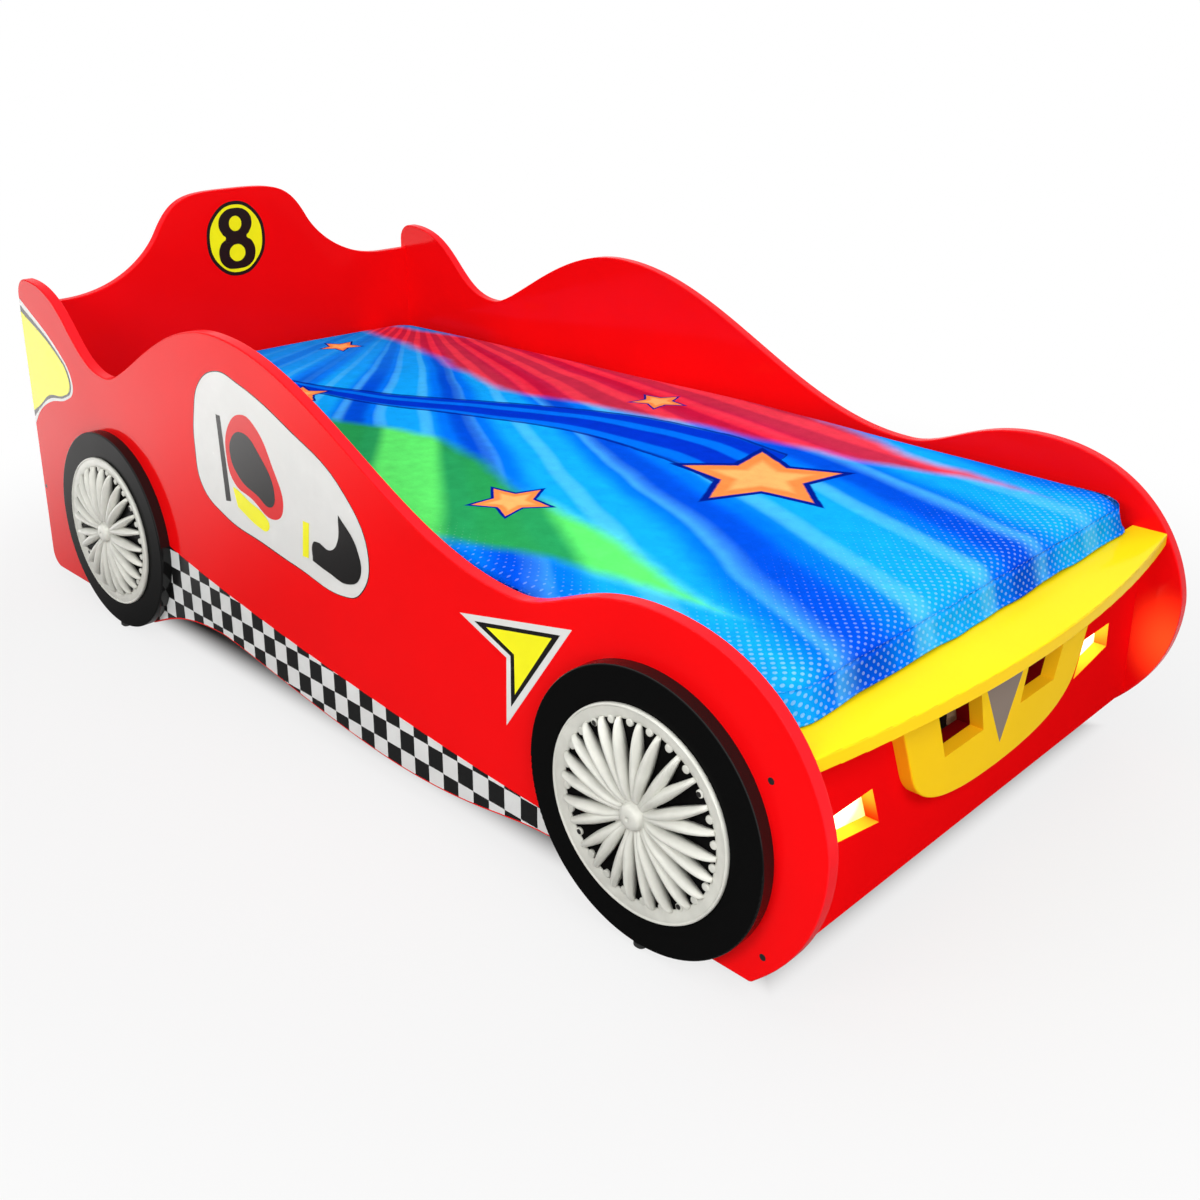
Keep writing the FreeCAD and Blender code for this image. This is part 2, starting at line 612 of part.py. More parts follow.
# ================================================================ slatted base
def ledger_rail(holes):
    rail = block((HEAD_X, -INNER_Y, RAIL_BASE_Z), (FOOT_X, -INNER_Y + RAIL_WIDTH, RAIL_TOP_Z))
    return rail.cut(holes)


def slat(x, holes):
    half = INNER_Y - SLAT_END_GAP
    board = block((x - SLAT_WIDTH / 2, -half, RAIL_TOP_Z), (x + SLAT_WIDTH / 2, half, SLAT_TOP_Z))
    long_edges = [edge for edge in board.Edges if edge.BoundBox.YLength > half]
    return board.makeFillet(EDGE_ROUND, long_edges).cut(holes)


def centre_rail():
    return block((HEAD_X, -LEG_SIZE / 2, RAIL_BASE_Z), (FOOT_X, LEG_SIZE / 2, RAIL_TOP_Z))


def rail_cleats():
    """Blocks on the headboard and the front panel that the centre rail rests on."""
    low = RAIL_BASE_Z - CLEAT_HEIGHT
    head = block((HEAD_X, -CLEAT_WIDTH / 2, low), (HEAD_X + BOARD, CLEAT_WIDTH / 2, RAIL_BASE_Z))
    foot = block((FOOT_X - BOARD, -CLEAT_WIDTH / 2, low), (FOOT_X, CLEAT_WIDTH / 2, RAIL_BASE_Z))
    return [head, foot]


def centre_legs(holes):
    half = LEG_SIZE / 2
    legs = [block((x - half, -half, GLIDE_HEIGHT), (x + half, half, RAIL_BASE_Z))
            for x in leg_centres()]
    return [leg.cut(holes) for leg in legs]


# ================================================================ mattress
def bow_radius(span, rise):
    """The radius of an arc that rises by a given height over its chord."""
    return (span * span / 4 + rise * rise) / (2 * rise)


def mattress_form(inset):
    """The mattress, crowned and with drawn-in sides, smaller by inset all round."""
    low_x = HEAD_X + END_GAP + inset
    high_x = HEAD_X + END_GAP + MATTRESS_LENGTH - inset
    mid_x = (low_x + high_x) / 2
    side_y = MATTRESS_WIDTH / 2 - inset
    waist_y = side_y - MATTRESS_WAIST
    plan = Outline(low_x, -side_y)
    plan.arc((mid_x, -waist_y), (high_x, -side_y))
    plan.line(high_x, side_y)
    plan.arc((mid_x, waist_y), (low_x, side_y))
    block_form = plan.plate("XY", MATTRESS_BASE_Z, MATTRESS_HEIGHT)
    upright = [edge for edge in block_form.Edges if edge.BoundBox.ZLength > 1]
    block_form = block_form.makeFillet(MATTRESS_CORNER - inset, upright)

    top = MATTRESS_BASE_Z + MATTRESS_HEIGHT - inset
    across = bow_radius(MATTRESS_WIDTH, MATTRESS_CROWN)
    along = bow_radius(MATTRESS_LENGTH, MATTRESS_BOW)
    crown = Part.makeTorus(along - across, across, V(mid_x, 0, top - along), V(0, 1, 0))
    form = block_form.common(crown)
    lowest_top = top - MATTRESS_CROWN - MATTRESS_BOW - 1
    upper = [edge for edge in form.Edges if edge.BoundBox.ZMin > lowest_top]
    return form.makeFillet(MATTRESS_EDGE - inset, upper)


def mattress_cover(core):
    below_hem = block((HEAD_X, -INNER_Y, 0), (FOOT_X, INNER_Y, COVER_HEM_Z))
    return mattress_form(0).cut(below_hem).cut(core)


# ================================================================ lamps, battery box, switch
def lamp_box(side):
    inner = min(LAMP_INNER_BASE[0], LAMP_INNER_TOP[0]) - LAMP_WALL
    outer = max(LAMP_OUTER_BASE[0], LAMP_OUTER_TOP[0]) + LAMP_WALL
    low = LAMP_INNER_BASE[1] - LAMP_WALL
    high = LAMP_INNER_TOP[1] + LAMP_WALL
    box = block((FOOT_X - LAMP_BOX_DEPTH, inner, low), (FOOT_X, outer, high))
    box = box if side > 0 else mirrored(box)
    recess = lamp_opening(side).plate("YZ", DIFFUSER_X, LAMP_BOX_DEPTH)
    back_x = FOOT_X - LAMP_BOX_DEPTH + LAMP_WALL
    chamber = lamp_chamber(side, LAMP_WALL, back_x, DIFFUSER_X - back_x)
    return box.cut([recess, chamber])


def lamp_chamber(side, inset, start_x, depth):
    """The lamp opening's outline drawn in towards its middle, as a prism."""
    corners = [LAMP_INNER_BASE, LAMP_OUTER_BASE, LAMP_OUTER_TOP, LAMP_INNER_TOP]
    mid_y = sum(y for y, z in corners) / 4
    mid_z = sum(z for y, z in corners) / 4
    half_height = (LAMP_INNER_TOP[1] - LAMP_INNER_BASE[1]) / 2
    shrink = 1 - inset / half_height
    points = [(side * (mid_y + (y - mid_y) * shrink), mid_z + (z - mid_z) * shrink)
              for y, z in corners]
    return polygon(points).plate("YZ", start_x, depth)


def lamp_diffuser(side):
    """The frosted plate in the step of the lamp box, just behind the front panel."""
    return lamp_chamber(side, FIT, DIFFUSER_X, DIFFUSER)


def led_board(side):
    back_x = FOOT_X - LAMP_BOX_DEPTH + LAMP_WALL
    board = lamp_chamber(side, LAMP_WALL + FIT, back_x, LED_BOARD)
    box = board.BoundBox
    front_x = back_x + LED_BOARD
    half = LED_SIZE / 2
    z = (LAMP_OUTER_BASE[1] + LAMP_OUTER_TOP[1]) / 2
    leds = []
    for i in range(LED_COUNT):
        y = box.YMin + box.YLength * (i + 1.5) / (LED_COUNT + 2)
        leds.append(block((front_x, y - half, z - half), (front_x + LED_RISE, y + half, z + half)))
    return board.fuse(leds)


BOX_INNER_Y = CELL_LENGTH + 2 * SPRING_ROOM
BOX_INNER_Z = 2 * CELL_RADIUS * CELL_COUNT + 2 * FIT
BOX_OUTER_Y = BOX_INNER_Y + 2 * BOX_WALL
BOX_OUTER_Z = BOX_INNER_Z + 2 * BOX_WALL + 2 * LID_LIP
BOX_TOP_Z = BOX_BASE_Z + BOX_OUTER_Z
BOX_REAR_X = FOOT_X - BOX_WALL - 2 * CELL_RADIUS - LID_THICKNESS - 4 * FIT - LID_RIB_RISE
LID_X = BOX_REAR_X + LID_RIB_RISE + FIT
CELL_Z0 = BOX_BASE_Z + BOX_WALL + LID_LIP + FIT + CELL_RADIUS


def battery_box():
    box = block((BOX_REAR_X, -BOX_OUTER_Y / 2, BOX_BASE_Z), (FOOT_X, BOX_OUTER_Y / 2, BOX_TOP_Z))
    low = BOX_BASE_Z + BOX_WALL + LID_LIP
    bay = block((BOX_REAR_X - 1, -BOX_INNER_Y / 2, low),
                (FOOT_X - BOX_WALL, BOX_INNER_Y / 2, low + BOX_INNER_Z))
    groove = block((LID_X - FIT, -BOX_INNER_Y / 2, low - LID_LIP),
                   (LID_X + LID_THICKNESS + FIT, BOX_OUTER_Y, low + BOX_INNER_Z + LID_LIP))
    mouth = block((BOX_REAR_X - 1, BOX_INNER_Y / 2 - 1, low),
                  (LID_X + LID_THICKNESS + FIT, BOX_OUTER_Y, low + BOX_INNER_Z))
    return box.cut([bay, groove, mouth])


def battery_lid():
    low = BOX_BASE_Z + BOX_WALL + FIT
    high = low + BOX_INNER_Z + 2 * LID_LIP - 2 * FIT
    lid = block((LID_X, -BOX_INNER_Y / 2 + FIT, low),
                (LID_X + LID_THICKNESS, BOX_OUTER_Y / 2, high))
    middle = (low + high) / 2
    ribs = []
    for i in range(LID_RIB_COUNT):
        y = BOX_INNER_Y / 2 - 2 * LID_RIB_WIDTH * (i + 1)
        ribs.append(block((LID_X - LID_RIB_RISE, y, middle - LID_RIB_LENGTH / 2),
                          (LID_X, y + LID_RIB_WIDTH, middle + LID_RIB_LENGTH / 2)))
    return lid.fuse(ribs).removeSplitter()


def battery_cells():
    x = FOOT_X - BOX_WALL - FIT - CELL_RADIUS
    cells = []
    for i in range(CELL_COUNT):
        z = CELL_Z0 + 2 * CELL_RADIUS * i
        shoulder = (x, CELL_LENGTH / 2 - CELL_NUB_LENGTH, z)
        can = rod(CELL_RADIUS - FIT / 6, (x, -CELL_LENGTH / 2, z), shoulder)
        nub = rod(CELL_NUB_RADIUS, shoulder, (x, CELL_LENGTH / 2, z))
        cells.append(can.fuse(nub))
    return cells


def battery_contacts():
    """A sprung contact plate at each end of every cell."""
    x = FOOT_X - BOX_WALL - FIT - CELL_RADIUS
    contacts = []
    for i in range(CELL_COUNT):
        z = CELL_Z0 + 2 * CELL_RADIUS * i
        for side in (-1, 1):
            wall = side * BOX_INNER_Y / 2
            cell = side * CELL_LENGTH / 2
            face = wall - side * CONTACT_THICKNESS
            plate = rod(CONTACT_RADIUS, (x, wall, z), (x, face, z))
            spring = rod(SPRING_RADIUS, (x, face, z), (x, cell, z))
            contacts.append(plate.fuse(spring).removeSplitter())
    return contacts


SWITCH_LOW_Y = BOX_OUTER_Y / 2 + SWITCH_GAP + BOX_OUTER_Y
SWITCH_MID_Y = SWITCH_LOW_Y + SWITCH_LENGTH / 2 + SWITCH_WALL
SWITCH_MID_Z = WIRE_Z
PIVOT_X = FOOT_X - PIVOT_DEPTH


def switch_housing():
    half_y = SWITCH_LENGTH / 2 + SWITCH_WALL
    half_z = SWITCH_HEIGHT / 2 + SWITCH_WALL
    body = block((FOOT_X - SWITCH_DEPTH, SWITCH_MID_Y - half_y, SWITCH_MID_Z - half_z),
                 (FOOT_X, SWITCH_MID_Y + half_y, SWITCH_MID_Z + half_z))
    pocket = block((FOOT_X - SWITCH_DEPTH - 1, SWITCH_MID_Y - SWITCH_LENGTH / 2,
                    SWITCH_MID_Z - SWITCH_HEIGHT / 2),
                   (FOOT_X - SWITCH_WALL, SWITCH_MID_Y + SWITCH_LENGTH / 2,
                    SWITCH_MID_Z + SWITCH_HEIGHT / 2))
    pin_hole = rod(ROCKER_PIN_RADIUS + PIN_CLEARANCE,
                   (PIVOT_X, SWITCH_MID_Y, SWITCH_MID_Z - half_z + PIN_SOCKET_WALL),
                   (PIVOT_X, SWITCH_MID_Y, SWITCH_MID_Z + half_z - PIN_SOCKET_WALL))
    return body.cut([pocket, pin_hole])


def switch_rocker():
    """The rocker tilted to its ON side, which is how it rests."""
    half = SWITCH_LENGTH / 2 - ROCKER_END_GAP
    high = SWITCH_HEIGHT / 2 - FIT
    end_x = PIVOT_X - ROCKER_CREST - half * math.tan(math.radians(ROCKER_TILT_DEG))
    outline = Outline(PIVOT_X - ROCKER_CREST, SWITCH_MID_Y)
    outline.line(end_x, SWITCH_MID_Y - half)
    outline.line(PIVOT_X + ROCKER_HEEL, SWITCH_MID_Y - half)
    outline.line(PIVOT_X + ROCKER_KEEL, SWITCH_MID_Y)
    outline.line(PIVOT_X + ROCKER_HEEL, SWITCH_MID_Y + half)
    outline.line(end_x, SWITCH_MID_Y + half)
    rocker = outline.plate("XY", SWITCH_MID_Z - high, 2 * high)
    pin_half = SWITCH_HEIGHT / 2 + SWITCH_WALL - PIN_SOCKET_WALL - PIN_END_GAP
    pin = rod(ROCKER_PIN_RADIUS, (PIVOT_X, SWITCH_MID_Y, SWITCH_MID_Z - pin_half),
              (PIVOT_X, SWITCH_MID_Y, SWITCH_MID_Z + pin_half))
    rocker = rocker.fuse(pin).removeSplitter()
    rocker.rotate(V(PIVOT_X, SWITCH_MID_Y, SWITCH_MID_Z), V(0, 0, 1), -ROCKER_TILT_DEG)
    return rocker


def wire_run(start_y, end_y, end_z):
    """A lead along the front panel's rear face that bends up into a lamp box."""
    x = FOOT_X - WIRE_RADIUS
    sense = 1 if end_y > start_y else -1
    bend_y = end_y - sense * WIRE_BEND
    spread = WIRE_BEND * math.sin(math.radians(45))
    path = Part.Wire([
        Part.makeLine(V(x, start_y, WIRE_Z), V(x, bend_y, WIRE_Z)),
        Part.Arc(V(x, bend_y, WIRE_Z),
                 V(x, bend_y + sense * spread, WIRE_Z + WIRE_BEND - spread),
                 V(x, end_y, WIRE_Z + WIRE_BEND)).toShape(),
        Part.makeLine(V(x, end_y, WIRE_Z + WIRE_BEND), V(x, end_y, end_z))])
    section = Part.Wire(Part.makeCircle(WIRE_RADIUS, V(x, start_y, WIRE_Z), V(0, sense, 0)))
    return path.makePipeShell([section], True, True)


def lamp_wiring():
    lamp_base = LAMP_INNER_BASE[1] - LAMP_WALL
    lamp_y = (LAMP_INNER_BASE[0] + LAMP_OUTER_BASE[0]) / 2
    switch_half = SWITCH_LENGTH / 2 + SWITCH_WALL
    link = rod(WIRE_RADIUS, (FOOT_X - WIRE_RADIUS, BOX_OUTER_Y / 2, WIRE_Z),
               (FOOT_X - WIRE_RADIUS, SWITCH_MID_Y - switch_half, WIRE_Z))
    return [link, wire_run(SWITCH_MID_Y + switch_half, lamp_y, lamp_base),
            wire_run(-BOX_OUTER_Y / 2, -lamp_y, lamp_base)]


def wire_clips():
    """Saddle clips that hold the leads on the front panel."""
    clips = []
    lamp_y = (LAMP_INNER_BASE[0] + LAMP_OUTER_BASE[0]) / 2
    half = WIRE_RADIUS + CLIP_WALL
    for y in [lamp_y * share for share in CLIP_SHARES]:
        saddle = block((FOOT_X - 2 * WIRE_RADIUS - CLIP_WALL, y - CLIP_WIDTH / 2, WIRE_Z - half),
                       (FOOT_X, y + CLIP_WIDTH / 2, WIRE_Z + half))
        channel = block((FOOT_X - 2 * WIRE_RADIUS, y - CLIP_WIDTH, WIRE_Z - WIRE_RADIUS),
                        (FOOT_X + CLIP_WALL, y + CLIP_WIDTH, WIRE_Z + WIRE_RADIUS))
        clips.append(saddle.cut(channel))
    return clips


# ================================================================ decals on the right side
def placed(origin_x, place):
    """A decal's place, measured from a part of the side panel, in the bed's own frame."""
    return (origin_x + place[0], place[1])


def window_decal():
    rear = placed(CREST_X, WINDOW_PRINT_REAR)
    outline = Outline(*rear)
    outline.curve((0, 0.403), placed(CREST_X, WINDOW_PRINT_TOP), (0.646, 0))
    outline.curve((0.224, 0), placed(CREST_X, WINDOW_PRINT_FRONT), (0, 0.364))
    outline.curve((0, 0.667), placed(CREST_X, WINDOW_PRINT_TOE), (0.450, 0))
    outline.curve((0.090, 0.075), placed(CREST_X, WINDOW_PRINT_HEEL), (0.288, 0.350))
    outline.curve((0.667, 0.115), rear, (0, 0.508))
    return outline.plate("XZ", -OUTER_Y - SKIN, SKIN)


def arrow_decal():
    corners = (ARROW_REAR, ARROW_NOTCH, ARROW_FOOT, ARROW_TIP)
    outline = polygon([placed(WAIST_X, corner) for corner in corners])
    return outline.plate("XZ", -OUTER_Y - SKIN, SKIN)


def tail_decal():
    rear_x = REAR_X + EDGE_ROUND
    outline = Outline(rear_x, TAIL_LOW_Z)
    outline.curve((0.341, 0.681), placed(REAR_WHEEL_X, TAIL_SHOULDER), (0.420, 0.110))
    outline.curve((0.788, 0.111), placed(REAR_WHEEL_X, TAIL_TIP), (0, 0.667))
    outline.curve((0, 0.515), placed(REAR_WHEEL_X, TAIL_BROW), (0.723, 0.303))
    outline.line(rear_x, TAIL_TOP_Z)
    return outline.plate("XZ", -OUTER_Y - SKIN, SKIN)


def checker_decal():
    lower = Outline(SILL_FRONT_X, SILL_Z + SILL_FRONT_RISE + CHECKER_MARGIN)
    lower = sill(lower, CHECKER_MARGIN)
    lower.line(SILL_REAR_X, CHECKER_REAR_Z)
    lower.curve((0.157, 0.446), (SILL_FRONT_X, CHECKER_FRONT_Z), (0.347, 0.095))
    strip = lower.plate("XZ", -OUTER_Y - SKIN, SKIN)
    tyres = [Part.makeCylinder(TYRE_RADIUS + FIT, 2 * BOARD, V(x, -OUTER_Y + BOARD, WHEEL_Z),
                               V(0, -1, 0)) for x in wheel_places().values()]
    return strip.cut(tyres)


def number_roundel():
    ellipse = Part.Ellipse(V(0, 0, 0), ROUNDEL_HALF_HEIGHT, ROUNDEL_HALF_WIDTH).toShape()
    disc = Part.Face(Part.Wire(ellipse)).extrude(V(0, 0, SKIN))
    disc.rotate(V(0, 0, 0), V(0, 1, 0), 90)
    disc.translate(V(HEAD_X, 0, CROWN_Z - ROUNDEL_DROP))
    return disc


def grille_triangle():
    points = [(0, TRIANGLE_TIP_Z), (TRIANGLE_HALF, WINDOW_TOP_Z), (-TRIANGLE_HALF, WINDOW_TOP_Z)]
    return polygon(points).plate("YZ", GRILLE_X, SKIN)


# ================================================================ build everything
def build():
    os.makedirs("parts", exist_ok=True)

    bolts = panel_bolts()
    base_screws = slat_screws()
    ledger_screws = rail_screws()
    disc_screws = tyre_screws()
    wheel_screws = trim_screws()
    glides = floor_glides()

    right_panel = side_panel(bolts + ledger_screws + disc_screws)
    save("side_panel_right", right_panel)
    save("side_panel_left", mirrored(right_panel))
    save("headboard", headboard(bolts))
    save("front_panel", front_panel(bolts))
    save("bumper_shelf", bumper_shelf())
    save("grille_panel", grille_panel())
    save("grille_triangle", grille_triangle())

    trim = wheel_trim()
    for end, x in wheel_places().items():
        disc = tyre_disc(x, disc_screws + wheel_screws + glides)
        save("tyre_disc_%s_right" % end, disc)
        save("tyre_disc_%s_left" % end, mirrored(disc))
        fitted = trim.copy()
        fitted.translate(V(x, -TYRE_Y, WHEEL_Z))
        fitted = fitted.cut(wheel_screws)
        save("wheel_trim_%s_right" % end, fitted)
        save("wheel_trim_%s_left" % end, mirrored(fitted))

    right_rail = ledger_rail(ledger_screws + base_screws)
    save("ledger_rail_right", right_rail)
    save("ledger_rail_left", mirrored(right_rail))
    save("centre_rail", centre_rail())
    save("rail_cleats", rail_cleats())
    save("centre_legs", centre_legs(glides))
    for number, x in enumerate(slat_centres(), 1):
        save("slat_%02d" % number, slat(x, base_screws))

    core = mattress_form(COVER)
    save("mattress_core", core)
    save("mattress_cover", mattress_cover(core))

    for name, side in (("left", 1), ("right", -1)):
        save("headlamp_box_%s" % name, lamp_box(side))
        save("headlamp_diffuser_%s" % name, lamp_diffuser(side))
    save("led_boards", [led_board(1), led_board(-1)])
    save("battery_box", battery_box())
    save("battery_lid", battery_lid())
    save("battery_cells", battery_cells())
    save("battery_contacts", battery_contacts())
    save("switch_housing", switch_housing())
    save("switch_rocker", switch_rocker())
    save("lamp_wiring", lamp_wiring())
    save("wire_clips", wire_clips())

    for name, decal in (("window_decal", window_decal()), ("arrow_decal", arrow_decal()),
                        ("tail_decal", tail_decal()), ("checker_decal", checker_decal())):
        save("%s_right" % name, decal)
        save("%s_left" % name, mirrored(decal))
    save("number_roundel", number_roundel())

    save("panel_bolts", bolts)
    save("slat_screws", base_screws)
    save("rail_screws", ledger_screws)
    save("tyre_screws", disc_screws)
    save("trim_screws", wheel_screws)
    save("floor_glides", glides)


build()
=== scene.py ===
# %% [markdown]
# # A child's bed in the shape of a racing car
#
# The bed is made of lacquered boards with printed films, moulded wheel trims, two lit headlamps and a
# mattress in a plush cover. The measured model holds every piece at its real size, and this script dresses
# it: it gives each board its finish and builds the pieces whose beauty is in their shape.

import math

import bmesh
import bpy
from mathutils import Matrix, Vector, noise


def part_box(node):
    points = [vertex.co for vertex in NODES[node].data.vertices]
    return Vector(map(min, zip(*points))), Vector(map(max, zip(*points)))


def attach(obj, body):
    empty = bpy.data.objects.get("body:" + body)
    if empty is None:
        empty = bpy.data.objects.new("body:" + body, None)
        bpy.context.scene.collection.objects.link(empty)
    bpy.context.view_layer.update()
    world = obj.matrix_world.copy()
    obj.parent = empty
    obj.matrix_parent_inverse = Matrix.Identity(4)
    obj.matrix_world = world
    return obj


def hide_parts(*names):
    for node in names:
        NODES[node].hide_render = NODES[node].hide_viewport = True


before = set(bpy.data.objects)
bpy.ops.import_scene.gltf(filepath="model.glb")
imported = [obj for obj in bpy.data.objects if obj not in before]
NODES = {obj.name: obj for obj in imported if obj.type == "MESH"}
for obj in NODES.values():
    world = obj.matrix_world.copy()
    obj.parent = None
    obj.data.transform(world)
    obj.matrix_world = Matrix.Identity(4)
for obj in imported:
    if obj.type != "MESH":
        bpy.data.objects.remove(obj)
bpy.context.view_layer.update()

# %% [markdown]
# ## Shader maths as plain expressions
#
# A finish is a small network of nodes. Wiring it by hand hides the idea behind the plugs, so a socket is
# wrapped in a class with the usual operators: writing `1 - mask` adds the Math node that does it.

# %% A socket that takes part in arithmetic
class Socket:
    """One output socket in a node tree. Each operator adds one Math node."""

    def __init__(self, network, socket):
        self.network = network
        self.socket = socket

    def maths(self, operation, *terms):
        return self.network.node("Math", {"operation": operation}, dict(enumerate(terms)))

    def __add__(self, other):
        return self.maths("ADD", self, other)

    def __sub__(self, other):
        return self.maths("SUBTRACT", self, other)

    def __rsub__(self, other):
        return self.maths("SUBTRACT", other, self)

    def __mul__(self, other):
        return self.maths("MULTIPLY", self, other)

    def __truediv__(self, other):
        return self.maths("DIVIDE", self, other)

    def __gt__(self, other):
        return self.maths("GREATER_THAN", self, other)

    def __lt__(self, other):
        return self.maths("LESS_THAN", self, other)

    def __abs__(self):
        return self.maths("ABSOLUTE", self)

    __radd__ = __add__
    __rmul__ = __mul__

    def apply(self, operation, *terms):
        """Any other one-output sum, such as SQRT, SINE or FLOOR."""
        return self.maths(operation, self, *terms)

    def step(self, low, high):
        """0 below low, 1 above high, and a smooth rise between them."""
        return self.network.node("MapRange", {"interpolation_type": "SMOOTHSTEP"},
                                 {0: self, 1: low, 2: high})


# %% A node tree and its one way to add a node
class Network:
    """A node tree that is built up from expressions."""

    def __init__(self, tree):
        self.tree = tree

    def node(self, kind, settings=None, sockets=None, output=0):
        made = self.tree.nodes.new("ShaderNode" + kind)
        for name, value in (settings or {}).items():
            setattr(made, name, value)
        for name, value in (sockets or {}).items():
            self.feed(made.inputs[name], value)
        return Socket(self, made.outputs[output])

    def feed(self, socket, value):
        if isinstance(value, Socket):
            self.tree.links.new(value.socket, socket)
        else:
            socket.default_value = value

    def parts(self, vector):
        """The three numbers of a vector."""
        outputs = self.node("SeparateXYZ", sockets={0: vector}).socket.node.outputs
        return [Socket(self, outputs[i]) for i in range(3)]

    def seen(self):
        """1 for rays that draw what the eye sees: straight, mirrored or through glass."""
        outputs = self.node("LightPath").socket.node.outputs
        straight, mirrored, through = [Socket(self, outputs[name]) for name in
                                       ("Is Camera Ray", "Is Glossy Ray", "Is Transmission Ray")]
        return straight.apply("MAXIMUM", mirrored.apply("MAXIMUM", through))


# %% A finish
class Finish(Network):
    """A material with a Principled shader."""

    def __init__(self, name, **shader):
        self.material = bpy.data.materials.new(name)
        self.material.use_nodes = True
        super().__init__(self.material.node_tree)
        self.shader = self.tree.nodes["Principled BSDF"]
        self.here = self.node("TexCoord", output=3)
        self.set(**shader)

    def set(self, **sockets):
        """Fill the shader's own sockets: base_color is its Base Color, and so on."""
        for name, value in sockets.items():
            title = name.replace("_", " ").title().replace("Ior", "IOR")
            self.feed(self.shader.inputs[title], value)

    def place(self):
        """Where a point lies on the object, in metres, as three numbers."""
        return self.parts(self.here)

    def facing(self):
        """The surface's own direction, as three numbers."""
        return self.parts(self.node("TexCoord", output=1))

    def grain(self, scale, detail=3.0, roughness=0.55, stretch=(1, 1, 1)):
        """Noise. A stretch scales its axes, so that it can run along a board."""
        at = self.here
        if stretch != (1, 1, 1):
            at = self.node("Mapping", sockets={"Vector": at, "Scale": stretch})
        return self.node("TexNoise", sockets={"Vector": at, "Scale": scale, "Detail": detail,
                                              "Roughness": roughness})

    def mix(self, factor, a, b, blend="MIX"):
        """Two colours mixed. A Mix node takes its colours in sockets 6 and 7."""
        settings = {"data_type": "RGBA", "blend_type": blend}
        return self.node("Mix", settings, {0: factor, 6: a, 7: b}, output=2)

    def bump(self, height, depth, normal=None):
        sockets = {"Height": height, "Distance": depth, "Strength": 1.0}
        if normal is not None:
            sockets["Normal"] = normal
        return self.node("Bump", sockets=sockets)

    def on(self, *pieces):
        """Put this finish on each piece, in place of what it had."""
        for piece in pieces:
            piece.data.materials.clear()
            piece.data.materials.append(self.material)


def rgb(red, green, blue):
    return (red, green, blue, 1.0)


def dimmed(colour, share):
    """The same colour, darker."""
    return rgb(*[part * share for part in colour[:3]])


def dress(finish, *names):
    """Give measured pieces a finish. Only their material changes."""
    finish.on(*[NODES[name] for name in names])


# %% [markdown]
# ## The camera
#
# The photograph was taken from the front right corner at about the height of an adult's chest. The place,
# the turn and the lens were worked out from the bed's straight edges. The picture was cropped off centre,
# which is what the two shift values repeat.

# %% Set the camera where the photographer stood
scene = bpy.context.scene
PHOTO_SIZE = 1200.0
SENSOR = 36.0
FOCAL_PIXELS = 1344.6
CENTRE_PIXEL = (567.06, 464.27)  # where the lens points, in the photograph
CAMERA_PLACE = Vector((1.8152, -1.7220, 1.2414))
CAMERA_AZIMUTH = math.radians(45.23)
CAMERA_ELEVATION = math.radians(18.63)
CAMERA_ROLL = math.radians(0.36)


def add_object(name, data):
    thing = bpy.data.objects.new(name, data)
    scene.collection.objects.link(thing)
    return thing


def make_camera():
    data = bpy.data.cameras.new("photo_camera")
    data.sensor_width = SENSOR
    data.lens = FOCAL_PIXELS / PHOTO_SIZE * SENSOR
    data.shift_x = 0.5 - CENTRE_PIXEL[0] / PHOTO_SIZE
    data.shift_y = CENTRE_PIXEL[1] / PHOTO_SIZE - 0.5
    data.clip_end = 50.0
    flat = math.cos(CAMERA_ELEVATION)
    back = Vector((math.sin(CAMERA_AZIMUTH) * flat, -math.cos(CAMERA_AZIMUTH) * flat,
                   math.sin(CAMERA_ELEVATION)))
    right = Vector((math.cos(CAMERA_AZIMUTH), math.sin(CAMERA_AZIMUTH), 0.0))
    up = back.cross(right)
    turn = Matrix.Rotation(-CAMERA_ROLL, 3, "Z")
    axes = Matrix((right, up, back)).transposed() @ turn
    scene.camera = add_object("photo_camera", data)
    scene.camera.matrix_world = Matrix.Translation(CAMERA_PLACE) @ axes.to_4x4()
    print("camera, metres from the bed's middle:", [round(part, 2) for part in CAMERA_PLACE])


make_camera()

# %% [markdown]
# ## Floor and light
#
# Large soft lamps show a glossy toy-like object best: small ones would leave hard hot spots in the lacquer.
# To the eye the studio is pure white, and the floor fades into it a step away from the bed. As a source of
# light the same studio is much dimmer, so that the lamps can model the shape. Under the bed the floor has a
# painted shadow: it is painted dark, so that the openings in the front look into shade.

# %% The floor and the studio
scene.view_settings.view_transform = "Standard"
AMBIENT = 0.30  # the strength of the white studio as a light
FLOOR_WHITE = 0.80  # share of plain white in the floor beside the bed
FLOOR_FADE = (1.1, 2.1)  # how far out that share starts to rise, and is whole
SHADED_HALF = (0.93, 0.47)  # half the length and the width of the painted shadow under the bed


def stage_plane(name, half_x, half_y, centre):
    x, y, z = centre
    corners = [(x + u * half_x, y + v * half_y, z) for u, v in ((-1, -1), (1, -1), (1, 1), (-1, 1))]
    mesh = bpy.data.meshes.new(name)
    mesh.from_pydata(corners, [], [(0, 1, 2, 3)])
    plane = add_object(name, mesh)
    return plane


